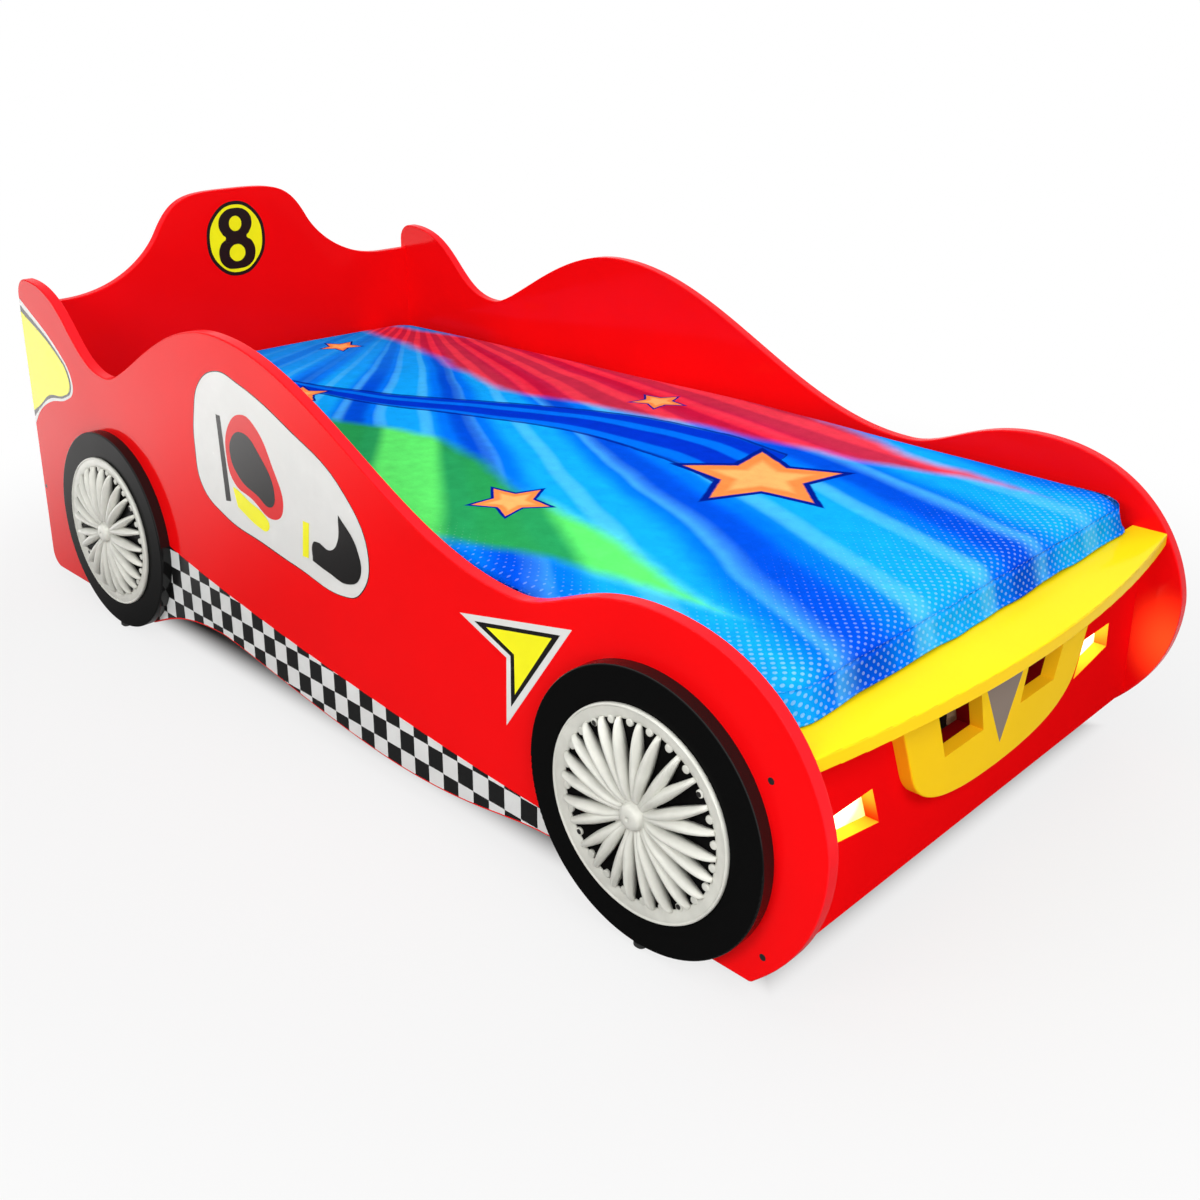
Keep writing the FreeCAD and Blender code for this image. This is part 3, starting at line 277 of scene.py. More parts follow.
def make_floor():
    floor = stage_plane("floor", 20.0, 20.0, (0, 0, -0.0005))
    finish = Finish("floor_paint", roughness=0.9, specular_ior_level=0.0)
    finish.on(floor)
    x, y, _ = finish.place()
    far = (x * x + y * y).apply("SQRT").step(*FLOOR_FADE)
    paint = Socket(finish, finish.shader.outputs[0])
    white = finish.node("Emission", sockets={"Strength": 1.0})
    past_end = abs(x) - SHADED_HALF[0]
    past_side = abs(y) - SHADED_HALF[1]
    beside = past_end.apply("MAXIMUM", past_side).step(-0.04, 0.04)
    # painted shadow: under the bed the floor's colour is dark grey
    finish.set(base_color=finish.mix(beside, rgb(0.10, 0.10, 0.10), rgb(0.46, 0.46, 0.46)))
    share = finish.seen() * beside * (far * (1 - FLOOR_WHITE) + FLOOR_WHITE)
    blend = finish.node("MixShader", sockets={0: share, 1: paint, 2: white})
    finish.feed(finish.tree.nodes["Material Output"].inputs["Surface"], blend)


def make_studio():
    world = bpy.data.worlds.new("studio")
    world.use_nodes = True
    scene.world = world
    studio = Network(world.node_tree)
    background = world.node_tree.nodes["Background"]
    background.inputs["Color"].default_value = rgb(1, 1, 1)
    studio.feed(background.inputs["Strength"], studio.seen() * (1 - AMBIENT) + AMBIENT)


make_floor()
make_studio()

# %% [markdown]
# A glowing sheet lies on the floor along the near side. Only reflections see it, and it gives the lacquered
# side its milky sheen towards the rear. It hardly glows beside the front wheel and is brightest behind the
# rear one, with a slow rise between them, so the sheen has no edge.

# %% The sheen and the lamps
SHEEN = 4.0  # the sheet's strength
SHEEN_FADE = (-2.3, -0.5)  # along the bed: full behind the first place, weak past the second


def make_sheen():
    sheet = stage_plane("floor_sheen", 4.4, 2.6, (-2.4, -2.6, 0.001))
    sheet.visible_camera = False
    sheet.visible_diffuse = False
    sheet.visible_transmission = False
    sheet.visible_shadow = False
    finish = Finish("floor_sheen_light", base_color=rgb(0, 0, 0), specular_ior_level=0.0,
                    emission_strength=SHEEN)
    finish.on(sheet)
    x, _, _ = finish.place()
    behind = 1 - x.step(*SHEEN_FADE)
    finish.set(emission_color=finish.mix(behind, rgb(0.06, 0.06, 0.06), rgb(1, 0.98, 0.97)))


def soft_lamp(name, place, target, size, power):
    data = bpy.data.lights.new(name, "AREA")
    data.shape = "RECTANGLE"
    data.size, data.size_y = size
    data.energy = power
    lamp = add_object(name, data)
    lamp.location = place
    lamp.rotation_euler = (Vector(target) - Vector(place)).to_track_quat("-Z", "Y").to_euler()
    lamp.visible_camera = False
    lamp.visible_glossy = False


make_sheen()
soft_lamp("top_lamp", (0.3, -0.6, 3.2), (0, 0, 0.3), (3.0, 2.4), 42)
soft_lamp("side_lamp", (0.5, -3.3, 2.2), (0.0, -0.5, 0.35), (2.6, 1.0), 63)
soft_lamp("head_lamp", (3.2, -1.3, 2.8), (-0.6, 0.1, 0.5), (1.8, 1.4), 82)
soft_lamp("back_lamp", (0.0, 3.6, 2.0), (0.0, 0.5, 0.3), (3.0, 1.2), 52)
soft_lamp("tail_lamp", (-3.8, 0.0, 1.8), (-1.0, 0.0, 0.4), (1.6, 1.2), 34)
soft_lamp("front_lamp", (2.5, -1.7, 0.8), (1.0, 0.0, 0.2), (0.7, 0.5), 8.5)
print("lamps, watts:", {lamp.name: round(lamp.energy, 1) for lamp in bpy.data.lights})

# %% [markdown]
# ## Lacquered boards
#
# The boards are fibreboard with a hard gloss lacquer. Such paint is never perfectly flat: a fine orange
# peel breaks up its reflections. The rounded edges get a painted tone for the light on them: a painted
# sheen on red and black boards and a painted shade on yellow ones, with random scuffs of real wear.
# An edge is found from the surface's direction, because a board's faces look one way and its edges another.
# On the inner face beside a headlamp the lacquer glows a little: a painted glow that stands in for the
# headlamp's light.

# %% The lacquer
ORANGE_PEEL_SCALE = 420.0
BOARD_WAVE_SCALE = 5.0
LAMP_LOW, LAMP_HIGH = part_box("headlamp_diffuser_left")
LAMP_MIDDLE = (LAMP_LOW + LAMP_HIGH) / 2
PAINTED_LAMP_WARM = rgb(1.0, 0.085, 0.014)
SPILL_REACH = 0.085  # the painted glow's radius. It starts level with the lamp's front
SPILL_DROP = 0.020  # its middle lies this far below the lamp's
SIDE_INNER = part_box("side_panel_left")[0].y


def painted_lamp_spill(x, y, z):
    """How strongly the nearer headlamp's painted light shows on a side panel's inner face, 0 to 1."""
    off_x = x - (LAMP_HIGH.x + SPILL_REACH)
    off_z = (z - (LAMP_MIDDLE.z - SPILL_DROP)) * 0.75
    inside = abs(y) < (SIDE_INNER + 0.0005)
    return (1 - (off_x * off_x + off_z * off_z).apply("SQRT").step(0.0, SPILL_REACH)) * inside


def lacquer(name, colour, edge_shading_colour, face_axis, gloss=0.10, specular=0.05, edge_coat=0.0, spill=0.0):
    """Gloss paint on a board whose faces look along the axis 0, 1 or 2."""
    finish = Finish(name, specular_ior_level=specular, coat_roughness=0.12)
    x, y, z = finish.place()
    across = abs(finish.facing()[face_axis])
    edge = 1 - across.step(0.55, 0.97)
    cloud = finish.grain(3.0)
    face = finish.mix(cloud.step(0.3, 0.7), dimmed(colour, 0.95), colour)
    scuff = finish.grain(60.0, detail=6.0, roughness=0.7).step(0.66, 0.74)
    # painted edge light: a sheen on red and black boards, shade on yellow ones, plus random scuffs of wear
    edge_shading_and_wear = edge * 0.75 + edge * scuff * 0.25
    finish.paint = finish.mix(edge_shading_and_wear, face, edge_shading_colour)
    finish.set(base_color=finish.paint)
    finish.set(coat_weight=edge * edge_coat)
    smear = finish.grain(4.0, stretch=(2.0, 2.0, 9.0))
    finish.set(roughness=gloss + smear.step(0.45, 0.8) * 0.05 + edge * 0.12)
    peel = finish.grain(ORANGE_PEEL_SCALE, detail=1.0)
    wave = finish.grain(BOARD_WAVE_SCALE, detail=1.0)
    finish.set(normal=finish.bump(peel, 0.000012, finish.bump(wave, 0.0012)))
    if spill > 0:
        # painted light: the headlamp's warm glow as emission on the lacquer
        painted_glow = painted_lamp_spill(x, y, z) * spill
        finish.set(emission_color=finish.mix(painted_glow, rgb(0, 0, 0), PAINTED_LAMP_WARM), emission_strength=1.0)
    return finish


# %% [markdown]
# The walls of a lamp's opening are the only place where the red board's edge looks yellow: the lamp shines
# straight along them. They are picked out by place and direction, and painted the colour of lit lacquer.
# The walls behind the grille's windows lie in shade, and that shade is painted on them as a dark red.

# %% The front panel
OPENING_MARGIN = 0.004  # an opening's walls lie within this of its lamp's plate
GRILLE_HALF = 0.20  # the grille's windows lie within this of the middle
GRILLE_FLOOR = 0.13  # and above this height


def front_lacquer(colour, edge_shading_colour):
    finish = lacquer("red_lacquer_front", colour, edge_shading_colour, 0, specular=0.0)
    _, y, z = finish.place()
    ahead, _, up = finish.facing()
    across = abs(y)
    cut = 1 - abs(ahead).step(0.55, 0.85)
    half_y = (LAMP_HIGH.y - LAMP_LOW.y) / 2 + OPENING_MARGIN
    half_z = (LAMP_HIGH.z - LAMP_LOW.z) / 2 + OPENING_MARGIN
    beside = abs(across - LAMP_MIDDLE.y) < half_y
    level = abs(z - LAMP_MIDDLE.z) < half_z
    height = z.step(LAMP_LOW.z, LAMP_HIGH.z)
    lit = finish.mix(height, rgb(0.85, 0.06, 0.008), rgb(0.98, 0.55, 0.04))
    lit = finish.mix(up.step(0.3, 0.7), lit, rgb(0.98, 0.60, 0.030))
    # painted shade: the walls behind the grille's windows are darkened
    window = (across < GRILLE_HALF) * (z > GRILLE_FLOOR) * cut
    shaded = finish.mix(window, finish.paint, rgb(0.16, 0.002, 0.003))
    finish.set(base_color=finish.mix(beside * level * cut, shaded, lit))
    return finish


# The edge colours below are painted light on the rounded edges: a sheen on red and black, shade on yellow.
RED = rgb(0.86, 0.0030, 0.0045)
RED_EDGE_SHEEN = rgb(0.87, 0.014, 0.022)
LEMON = rgb(0.95, 0.70, 0.008)
LEMON_EDGE_SHADE = rgb(0.96, 0.60, 0.010)
YELLOW = rgb(0.97, 0.62, 0.005)
YELLOW_EDGE_SHADE = rgb(0.95, 0.50, 0.010)
BLACK = rgb(0.0035, 0.0035, 0.0035)
BLACK_EDGE_SHEEN = rgb(0.006, 0.006, 0.006)

dress(lacquer("red_lacquer_sides", RED, RED_EDGE_SHEEN, 1, spill=1.0), "side_panel_left", "side_panel_right")
dress(lacquer("red_lacquer_head", RED, RED_EDGE_SHEEN, 0, specular=0.02), "headboard")
dress(front_lacquer(RED, RED_EDGE_SHEEN), "front_panel")
dress(lacquer("yellow_lacquer_shelf", LEMON, LEMON_EDGE_SHADE, 2, specular=0.02), "bumper_shelf")
dress(lacquer("yellow_lacquer_grille", YELLOW, YELLOW_EDGE_SHADE, 0, specular=0.008), "grille_panel")

WHEELS = [end + "_" + side for end in ("front", "rear") for side in ("left", "right")]
dress(lacquer("tyre_lacquer", BLACK, BLACK_EDGE_SHEEN, 1, gloss=0.22, specular=0.02, edge_coat=0.6),
      *["tyre_disc_" + wheel for wheel in WHEELS])
print("lacquers:", [material.name for material in bpy.data.materials if "lacquer" in material.name])

# %% [markdown]
# ## Building meshes
#
# Most built pieces are made the same way: vertices are placed by a formula and joined into faces. Two
# helpers do most of the work: one turns lists of points into an object, and one skins a stack of equal
# rings, as a potter stacks coils.

# %% Mesh helpers
def fill_mesh(mesh, grid, gap):
    """Weld the points that touch, turn the faces outwards and fill the mesh."""
    bmesh.ops.remove_doubles(grid, verts=grid.verts, dist=gap)
    bmesh.ops.recalc_face_normals(grid, faces=grid.faces)
    grid.to_mesh(mesh)
    grid.free()


def circle(count):
    """The cosine and the sine of count even turns."""
    turns = [2 * math.pi * i / count for i in range(count)]
    return [(math.cos(turn), math.sin(turn)) for turn in turns]


def make_piece(name, points, faces):
    mesh = bpy.data.meshes.new(name)
    mesh.from_pydata([tuple(point) for point in points], [], faces)
    grid = bmesh.new()
    grid.from_mesh(mesh)
    fill_mesh(mesh, grid, 1e-6)
    mesh.shade_smooth()
    return add_object(name, mesh)


def skin(rings, start=0, capped=False):
    """Faces between neighbouring rings of equal length, numbered from start."""
    count = len(rings[0])
    faces = []
    for row in range(len(rings) - 1):
        for i in range(count):
            a = start + row * count + i
            b = start + row * count + (i + 1) % count
            faces.append((a, b, b + count, a + count))
    if capped:
        last = start + (len(rings) - 1) * count
        faces.append(tuple(start + i for i in reversed(range(count))))
        faces.append(tuple(last + i for i in range(count)))
    return faces


def stack(rings, capped=False):
    """The points and the faces of a stack of rings."""
    return [point for ring in rings for point in ring], skin(rings, capped=capped)


# %% [markdown]
# ## Wheel trims
#
# Each trim is one moulding: a ring that slopes in from a thin bead, a flat hub plate with a small dome, and
# twelve forked spokes that arch over the tyre like petals. The measured trim has the right size but plain
# spokes, so it is built again here: the ring and the hub are turned on a lathe, and each arm of a fork is a
# round-topped wall that rises from the hub, crests halfway and bends down to the ring. Small round pegs
# stand between the tips.

# %% The trim's measures, from the frame
TRIM_LOW, TRIM_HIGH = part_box("wheel_trim_front_right")
TRIM_RADIUS = (TRIM_HIGH.x - TRIM_LOW.x) / 2
TRIM_RISE = TRIM_HIGH.y - TRIM_LOW.y
RING_INNER = TRIM_RADIUS - 0.0215
SPOKES = 12
FIRST_SPOKE = math.radians(51)
CREST_RADIUS = 0.080  # where a spoke stands out most
CREST_RISE = 0.0212
CREST_REACH = (0.064, 0.058)  # from there to a spoke's seat, towards the hub and the ring
SPOKE_SEAT = 0.0050  # the crest's rise at a spoke's two ends
SPOKE_FOOT = 0.0008
ARM_START = 0.018
FORK_START = 0.040  # from this radius outwards a fork's two arms part
ARM_PARTING = 0.0022  # half the distance between them at the hub
ARM_NARROW, ARM_WIDEST = 0.020, 0.078  # the radii where an arm starts to widen, and is widest
ARM_HALF = (0.0058, 0.0092)  # half an arm's width, at the hub and at its widest
ARM_TAPER = 0.60  # the share of its width that it loses towards the ring
ARM_END = RING_INNER + 0.0016
FORK_TIP = math.radians(7.2)  # half the angle between a fork's two tips
PEG_RADIUS = 0.0060
PEG_RISE = 0.0038
HUB_RADIUS = 0.0420
DOME_RADIUS = 0.0188


def crest(radius):
    """How far a spoke's crest stands out from the tyre, at a radius."""
    share = abs(radius - CREST_RADIUS) / CREST_REACH[radius > CREST_RADIUS]
    return SPOKE_SEAT + (CREST_RISE - SPOKE_SEAT) * max(0.0, 1 - share ** 2.6) ** 0.6


def arm_offset(radius):
    """How far an arm's middle lies beside its spoke's own middle."""
    share = max(0.0, (radius - FORK_START) / (ARM_END - FORK_START))
    return ARM_PARTING + (ARM_END * math.sin(FORK_TIP) - ARM_PARTING) * share ** 1.15


def arm_half_width(radius):
    """Narrow at the hub, widest over the crest, and pointed at the ring."""
    narrow, wide = ARM_HALF
    grow = min(1.0, max(0.0, (radius - ARM_NARROW) / (ARM_WIDEST - ARM_NARROW)))
    taper = max(0.0, (radius - ARM_WIDEST) / (ARM_END - ARM_WIDEST))
    return (narrow + (wide - narrow) * math.sin(grow * math.pi / 2)) * (1 - ARM_TAPER * taper ** 1.4)


def lathe(profile, segments=96):
    """Turn (radius, rise) points about the wheel's axle."""
    turns = circle(segments)
    return stack([[(radius * u, rise, radius * v) for u, v in turns] for radius, rise in profile])


def rib(direction, side):
    """One arm of a forked spoke: a round-topped wall along the arch, closed at the tip."""
    stations = 26
    rings = []
    along = Vector((math.cos(direction), 0, math.sin(direction)))
    across = Vector((-along.z, 0, along.x))
    for s in range(stations + 1):
        radius = ARM_START + (ARM_END - ARM_START) * s / stations
        width = arm_half_width(radius)
        centre = along * radius + across * (side * arm_offset(radius))
        ring = []
        for lean, rise in circle(14):
            top = crest(radius) * (1 - 0.5 * lean * lean)
            at = centre + across * (width * lean)
            ring.append((at.x, top if rise > -0.001 else SPOKE_FOOT, at.z))
        rings.append(ring)
    return stack(rings, capped=True)


def peg(direction):
    radius = RING_INNER - PEG_RADIUS * 0.45
    centre = Vector((radius * math.cos(direction), 0, radius * math.sin(direction)))
    profile = [(1.0, 0.0), (1.0, 0.72), (0.88, 0.93), (0.55, 1.0), (0.02, 1.0)]
    points, faces = lathe([(share * PEG_RADIUS, height * PEG_RISE) for share, height in profile], 20)
    return [(x + centre.x, y, z + centre.z) for x, y, z in points], faces


def trim_parts():
    """Every solid of one trim, about its own axle, with the outside towards +Y."""
    inner, outer = RING_INNER, TRIM_RADIUS
    ring = [(inner, 0.0), (inner, 0.0012), (inner + 0.0012, 0.0022), (inner + 0.0040, 0.0030),
            (outer - 0.0052, 0.0054), (outer - 0.0044, 0.0050), (outer - 0.0036, 0.0064),
            (outer - 0.0024, 0.0072), (outer - 0.0010, 0.0066), (outer, 0.0048), (outer, 0.0), (inner, 0.0)]
    top = TRIM_RISE - 0.0004
    hub = [(HUB_RADIUS, 0.0), (HUB_RADIUS, 0.0066), (HUB_RADIUS - 0.0012, 0.0082),
           (HUB_RADIUS - 0.0040, 0.0090), (DOME_RADIUS + 0.0022, 0.0100), (DOME_RADIUS + 0.0006, 0.0108),
           (DOME_RADIUS, 0.0150), (DOME_RADIUS - 0.0016, top - 0.0032), (0.0140, top - 0.0014),
           (0.0090, top - 0.0004), (0.0040, top), (0.0026, top - 0.0004), (0.0022, top - 0.0024),
           (0.0004, top - 0.0024)]
    parts = [lathe(ring, 144), lathe(hub, 64)]
    step = 2 * math.pi / SPOKES
    for k in range(SPOKES):
        parts += [rib(FIRST_SPOKE + k * step, side) for side in (-1, 1)]
    for k in range(2 * SPOKES):
        parts.append(peg(FIRST_SPOKE + k * step / 2))
    return parts


def build_trim(name):
    low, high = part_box(name)
    outward = 1 if low.y > 0 else -1
    seat = low.y if outward > 0 else high.y
    centre = Vector(((low.x + high.x) / 2, seat, (low.z + high.z) / 2))
    points, faces = [], []
    for part_points, part_faces in trim_parts():
        start = len(points)
        points += [(centre.x + x, centre.y + outward * y, centre.z + z) for x, y, z in part_points]
        faces += [tuple(start + i for i in face) for face in part_faces]
    trim = make_piece(name + "_moulding", points, faces)
    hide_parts(name)
    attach(trim, "bedframe")
    return trim


# %% The trim's plastic
def moulded_plastic(name, colour, roughness=0.32):
    finish = Finish(name, specular_ior_level=0.5)
    cloud = finish.grain(25.0)
    finish.set(base_color=finish.mix(cloud.step(0.35, 0.7), dimmed(colour, 0.88), colour))
    finish.set(roughness=roughness + finish.grain(90.0).step(0.4, 0.8) * 0.12)
    finish.set(normal=finish.bump(finish.grain(700.0, detail=2.0), 0.00002))
    return finish


trims = [build_trim("wheel_trim_" + wheel) for wheel in WHEELS]
moulded_plastic("trim_plastic", rgb(0.64, 0.64, 0.58)).on(*trims)
print("wheel trims:", len(trims), "faces each:", len(trims[0].data.polygons))

# %% [markdown]
# ## Screws, bolts and glides
#
# These are small, and only their tone shows from a step away. They keep their measured shape and get black
# oxide steel, zinc plate and nylon.

# %% Metal and nylon finishes
def metal(name, colour, roughness, metallic=1.0):
    finish = Finish(name, metallic=metallic)
    rub = finish.grain(400.0, detail=4.0)
    finish.set(base_color=finish.mix(rub.step(0.4, 0.65), dimmed(colour, 0.7), colour))
    finish.set(roughness=roughness + rub * 0.15)
    finish.set(normal=finish.bump(rub, 0.00003))
    return finish


dress(metal("black_steel", rgb(0.020, 0.019, 0.018), 0.45, metallic=0.3), "panel_bolts", "trim_screws")
dress(metal("zinc_steel", rgb(0.62, 0.62, 0.60), 0.30), "slat_screws", "rail_screws", "tyre_screws",
      "battery_contacts")
dress(moulded_plastic("glide_nylon", rgb(0.022, 0.022, 0.022), 0.45), "floor_glides")

# %% [markdown]
# ## Printed films
#
# The window, the arrow, the tail flash, the number and the grey triangle are films stuck on the lacquer.
# They are drawn as flat outlines, filled, and given the thickness of a film. Drawing them as shapes keeps
# every edge crisp at any distance, which a painted texture can't do.

# %% Film helpers
FILM_STEP = 0.00012  # each printed layer lies this much over the last
SIDE_FACE = abs(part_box("side_panel_right")[0].y)
HEAD_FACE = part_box("headboard")[1].x
GRILLE_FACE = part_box("grille_panel")[1].x


def film_finish(name, colour, roughness=0.22):
    finish = Finish(name, specular_ior_level=0.16)
    fade = finish.grain(14.0)
    finish.set(base_color=finish.mix(fade.step(0.35, 0.75), dimmed(colour, 0.94), colour))
    finish.set(roughness=roughness + fade * 0.08)
    finish.set(normal=finish.bump(finish.grain(160.0, detail=2.0), 0.00004))
    return finish.material


INK = {
    "white": film_finish("film_white", rgb(0.72, 0.72, 0.70)),
    "black": film_finish("film_black", rgb(0.008, 0.007, 0.007)),
    "red": film_finish("film_red", rgb(0.70, 0.008, 0.010)),
    "lemon": film_finish("film_lemon", rgb(0.90, 0.86, 0.010)),
    "grey": film_finish("film_grey", rgb(0.215, 0.160, 0.125), roughness=0.38),
}


def drawing(outlines):
    """A filled flat shape. A point is (u, v), or (u, v, 0) where the outline has a corner."""
    curve = bpy.data.curves.new("drawing", "CURVE")
    curve.dimensions = "2D"
    curve.fill_mode = "BOTH"
    curve.resolution_u = 10
    curve.extrude = FILM_STEP / 2
    for outline in outlines:
        spline = curve.splines.new("BEZIER")
        spline.bezier_points.add(len(outline) - 1)
        spline.use_cyclic_u = True
        for knot, point in zip(spline.bezier_points, outline):
            knot.co = (point[0], point[1], 0)
        for knot, point in zip(spline.bezier_points, outline):
            kind = "VECTOR" if len(point) > 2 else "AUTO"
            knot.handle_left_type = kind
            knot.handle_right_type = kind
    holder = add_object("drawing", curve)
    bpy.context.view_layer.update()
    mesh = bpy.data.meshes.new_from_object(holder.evaluated_get(bpy.context.evaluated_depsgraph_get()))
    bpy.data.objects.remove(holder)
    return mesh


def film(name, layers, to_frame, stands_for, slot):
    """A piece of printed film. Each layer is (ink, outlines), and lies on the one before."""
    grid = bmesh.new()
    inks = []
    for level, (ink, outlines) in enumerate(layers):
        mesh = drawing(outlines)
        for vertex in mesh.vertices:
            u, v, rise = vertex.co
            vertex.co = to_frame(u, v, rise + FILM_STEP * (level + 0.5))
        if ink not in inks:
            inks.append(ink)
        for face in mesh.polygons:
            face.material_index = inks.index(ink)
        grid.from_mesh(mesh)
        bpy.data.meshes.remove(mesh)
    mesh = bpy.data.meshes.new(name)
    fill_mesh(mesh, grid, 1e-7)
    for ink in inks:
        mesh.materials.append(INK[ink])
    piece = add_object(name, mesh)
    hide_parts(stands_for)
    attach(piece, "bedframe")


def on_side(side):
    """Drawing to frame, on the outer face of the side panel on that side."""
    return lambda u, v, rise: Vector((u, side * (SIDE_FACE + rise), v))


def on_end(face_x, centre_z=0.0):
    """The same, on a board that faces the foot end."""
    return lambda u, v, rise: Vector((face_x + rise, u, centre_z + v))


def towards(outline, u, v, by):
    """The outline with each point moved towards the place (u, v)."""
    moved = []
    for point in outline:
        away = Vector((point[0] - u, point[1] - v))
        away *= 1 - by / away.length
        moved.append((u + away.x, v + away.y, *point[2:]))
    return moved


def grown(outline, by):
    """The outline with each point moved outwards, for the line round a shape."""
    middle_u = sum(point[0] for point in outline) / len(outline)
    middle_v = sum(point[1] for point in outline) / len(outline)
    return towards(outline, middle_u, middle_v, -by)


# %% The side window, with the seat behind it
WINDOW = [(-0.363, 0.480), (-0.350, 0.406), (-0.280, 0.365), (-0.148, 0.343), (-0.041, 0.328),
          (0.083, 0.315), (0.132, 0.333), (0.161, 0.406), (0.099, 0.505), (-0.050, 0.580),
          (-0.198, 0.630), (-0.264, 0.639), (-0.330, 0.604), (-0.357, 0.538)]
SEAT_BACK = [(-0.189, 0.575), (-0.240, 0.543), (-0.253, 0.480), (-0.235, 0.439), (-0.180, 0.421),
             (-0.112, 0.399), (-0.080, 0.424), (-0.107, 0.505), (-0.148, 0.560)]
HEADREST = [(-0.189, 0.541), (-0.228, 0.527), (-0.240, 0.490), (-0.214, 0.452), (-0.160, 0.432),
            (-0.119, 0.420), (-0.103, 0.442), (-0.148, 0.517)]
PILLAR = [(-0.278, 0.558, 0), (-0.264, 0.558, 0), (-0.251, 0.398, 0), (-0.268, 0.395, 0)]
CUSHION = [(-0.240, 0.429, 0), (-0.226, 0.427), (-0.189, 0.414), (-0.140, 0.399), (-0.127, 0.385),
           (-0.136, 0.371), (-0.160, 0.371), (-0.228, 0.393, 0)]
LEVER = [(-0.020, 0.422, 0), (-0.002, 0.422, 0), (-0.010, 0.356, 0), (-0.028, 0.355, 0)]
DASHBOARD = [(0.085, 0.460, 0), (0.132, 0.414), (0.137, 0.365), (0.099, 0.341), (0.050, 0.346),
             (0.002, 0.355, 0), (0.007, 0.390), (0.020, 0.394), (0.055, 0.389), (0.078, 0.410)]

WINDOW_LAYERS = [("black", [grown(WINDOW, 0.0022)]), ("white", [WINDOW]), ("red", [SEAT_BACK]),
                 ("black", [HEADREST]), ("black", [PILLAR]), ("lemon", [CUSHION]), ("lemon", [LEVER]),
                 ("black", [DASHBOARD])]

# %% The arrow, the tail flash and the checks
ARROW_OUTER = [(0.387, 0.383, 0), (0.626, 0.434, 0), (0.487, 0.231, 0), (0.490, 0.344, 0)]
ARROW_MIDDLE = [(0.420, 0.380, 0), (0.603, 0.418, 0), (0.498, 0.266, 0), (0.499, 0.350, 0)]
ARROW_INNER = [(0.447, 0.379, 0), (0.586, 0.408, 0), (0.507, 0.290, 0), (0.507, 0.355, 0)]
ARROW_LAYERS = [("white", [ARROW_OUTER]), ("black", [ARROW_MIDDLE]), ("lemon", [ARROW_INNER])]
TAIL_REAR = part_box("tail_decal_right")[0].x
TAIL_TOP, TAIL_FOOT = 0.659, 0.376
TAIL_MIDDLE = (-1.0, 0.515)
TAIL_OUTER = [(TAIL_REAR, TAIL_TOP, 0), (-0.899, 0.563), (-0.862, 0.525), (-0.858, 0.488),
              (-0.891, 0.464), (-0.973, 0.443), (-1.030, 0.413), (TAIL_REAR, TAIL_FOOT, 0)]


def tail_layers():
    """Each layer is drawn in from the last, and all of them end at the panel's rear edge."""
    layers = []
    for ink, line in (("white", 0.0), ("black", 0.0075), ("lemon", 0.0145)):
        drawn = towards(TAIL_OUTER, *TAIL_MIDDLE, line)
        drawn[0] = (TAIL_REAR, TAIL_TOP - line * 2.0, 0)
        drawn[-1] = (TAIL_REAR, TAIL_FOOT + line * 2.0, 0)
        layers.append((ink, [drawn]))
    return layers


SIDE_FILMS = {"window": WINDOW_LAYERS, "arrow": ARROW_LAYERS, "tail": tail_layers()}
for side_name, side in (("left", 1), ("right", -1)):
    for name, layers in SIDE_FILMS.items():
        film(name + "_film_" + side_name, layers, on_side(side), name + "_decal_" + side_name,
             name + "_print")
print("films on each side panel:", list(SIDE_FILMS))

# %% [markdown]
# The checks follow a strict square grid while the strip's edges curve, so the measured strip keeps its
# shape and the squares come from arithmetic: count the squares along and up, add them, and every odd sum
# is black.

# %% The checked strip
SQUARE = (0.0365, 0.0376)
CHECK_CORNER = (-0.507, 0.0815)


def checker_finish():
    finish = Finish("checker_print", specular_ior_level=0.16, roughness=0.25)
    x, _, z = finish.place()
    column = ((x - CHECK_CORNER[0]) / SQUARE[0]).apply("FLOOR")
    row = ((z - CHECK_CORNER[1]) / SQUARE[1]).apply("FLOOR")
    odd = (column + row).apply("FLOORED_MODULO", 2.0)
    fade = finish.grain(14.0)
    white = finish.mix(fade.step(0.35, 0.75), rgb(0.66, 0.67, 0.66), rgb(0.72, 0.73, 0.72))
    finish.set(base_color=finish.mix(odd, rgb(0.008, 0.008, 0.008), white))
    finish.set(normal=finish.bump(finish.grain(160.0, detail=2.0), 0.00004))
    return finish


dress(checker_finish(), "checker_decal_left", "checker_decal_right")

# %% The number on the headboard
ROUNDEL_LOW, ROUNDEL_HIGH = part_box("number_roundel")
ROUNDEL_Z = (ROUNDEL_LOW.z + ROUNDEL_HIGH.z) / 2
ROUNDEL_HALF = ((ROUNDEL_HIGH.y - ROUNDEL_LOW.y) / 2, (ROUNDEL_HIGH.z - ROUNDEL_LOW.z) / 2)
ROUNDEL_RING = 0.0085
EIGHT_RIGHT = [(0.000, 0.0730), (0.034, 0.062), (0.0455, 0.037), (0.036, 0.012), (0.0285, 0.0035),
               (0.042, -0.009), (0.0500, -0.035), (0.037, -0.063), (0.000, -0.0725)]
EIGHT = EIGHT_RIGHT + [(-u, v) for u, v in reversed(EIGHT_RIGHT[1:-1])]


def oval(half_u, half_v, middle_v=0.0):
    """An ellipse as eight smooth points."""
    return [(half_u * u, middle_v + half_v * v) for u, v in circle(8)]


EIGHT_EYES = [oval(0.0168, 0.0180, 0.0360), oval(0.0215, 0.0205, -0.0340)]
film("number_film",
     [("black", [oval(*ROUNDEL_HALF)]),
      ("lemon", [oval(ROUNDEL_HALF[0] - ROUNDEL_RING, ROUNDEL_HALF[1] - ROUNDEL_RING)]),
      ("black", [EIGHT, *EIGHT_EYES])],
     on_end(HEAD_FACE, ROUNDEL_Z), "number_roundel", "roundel_print")

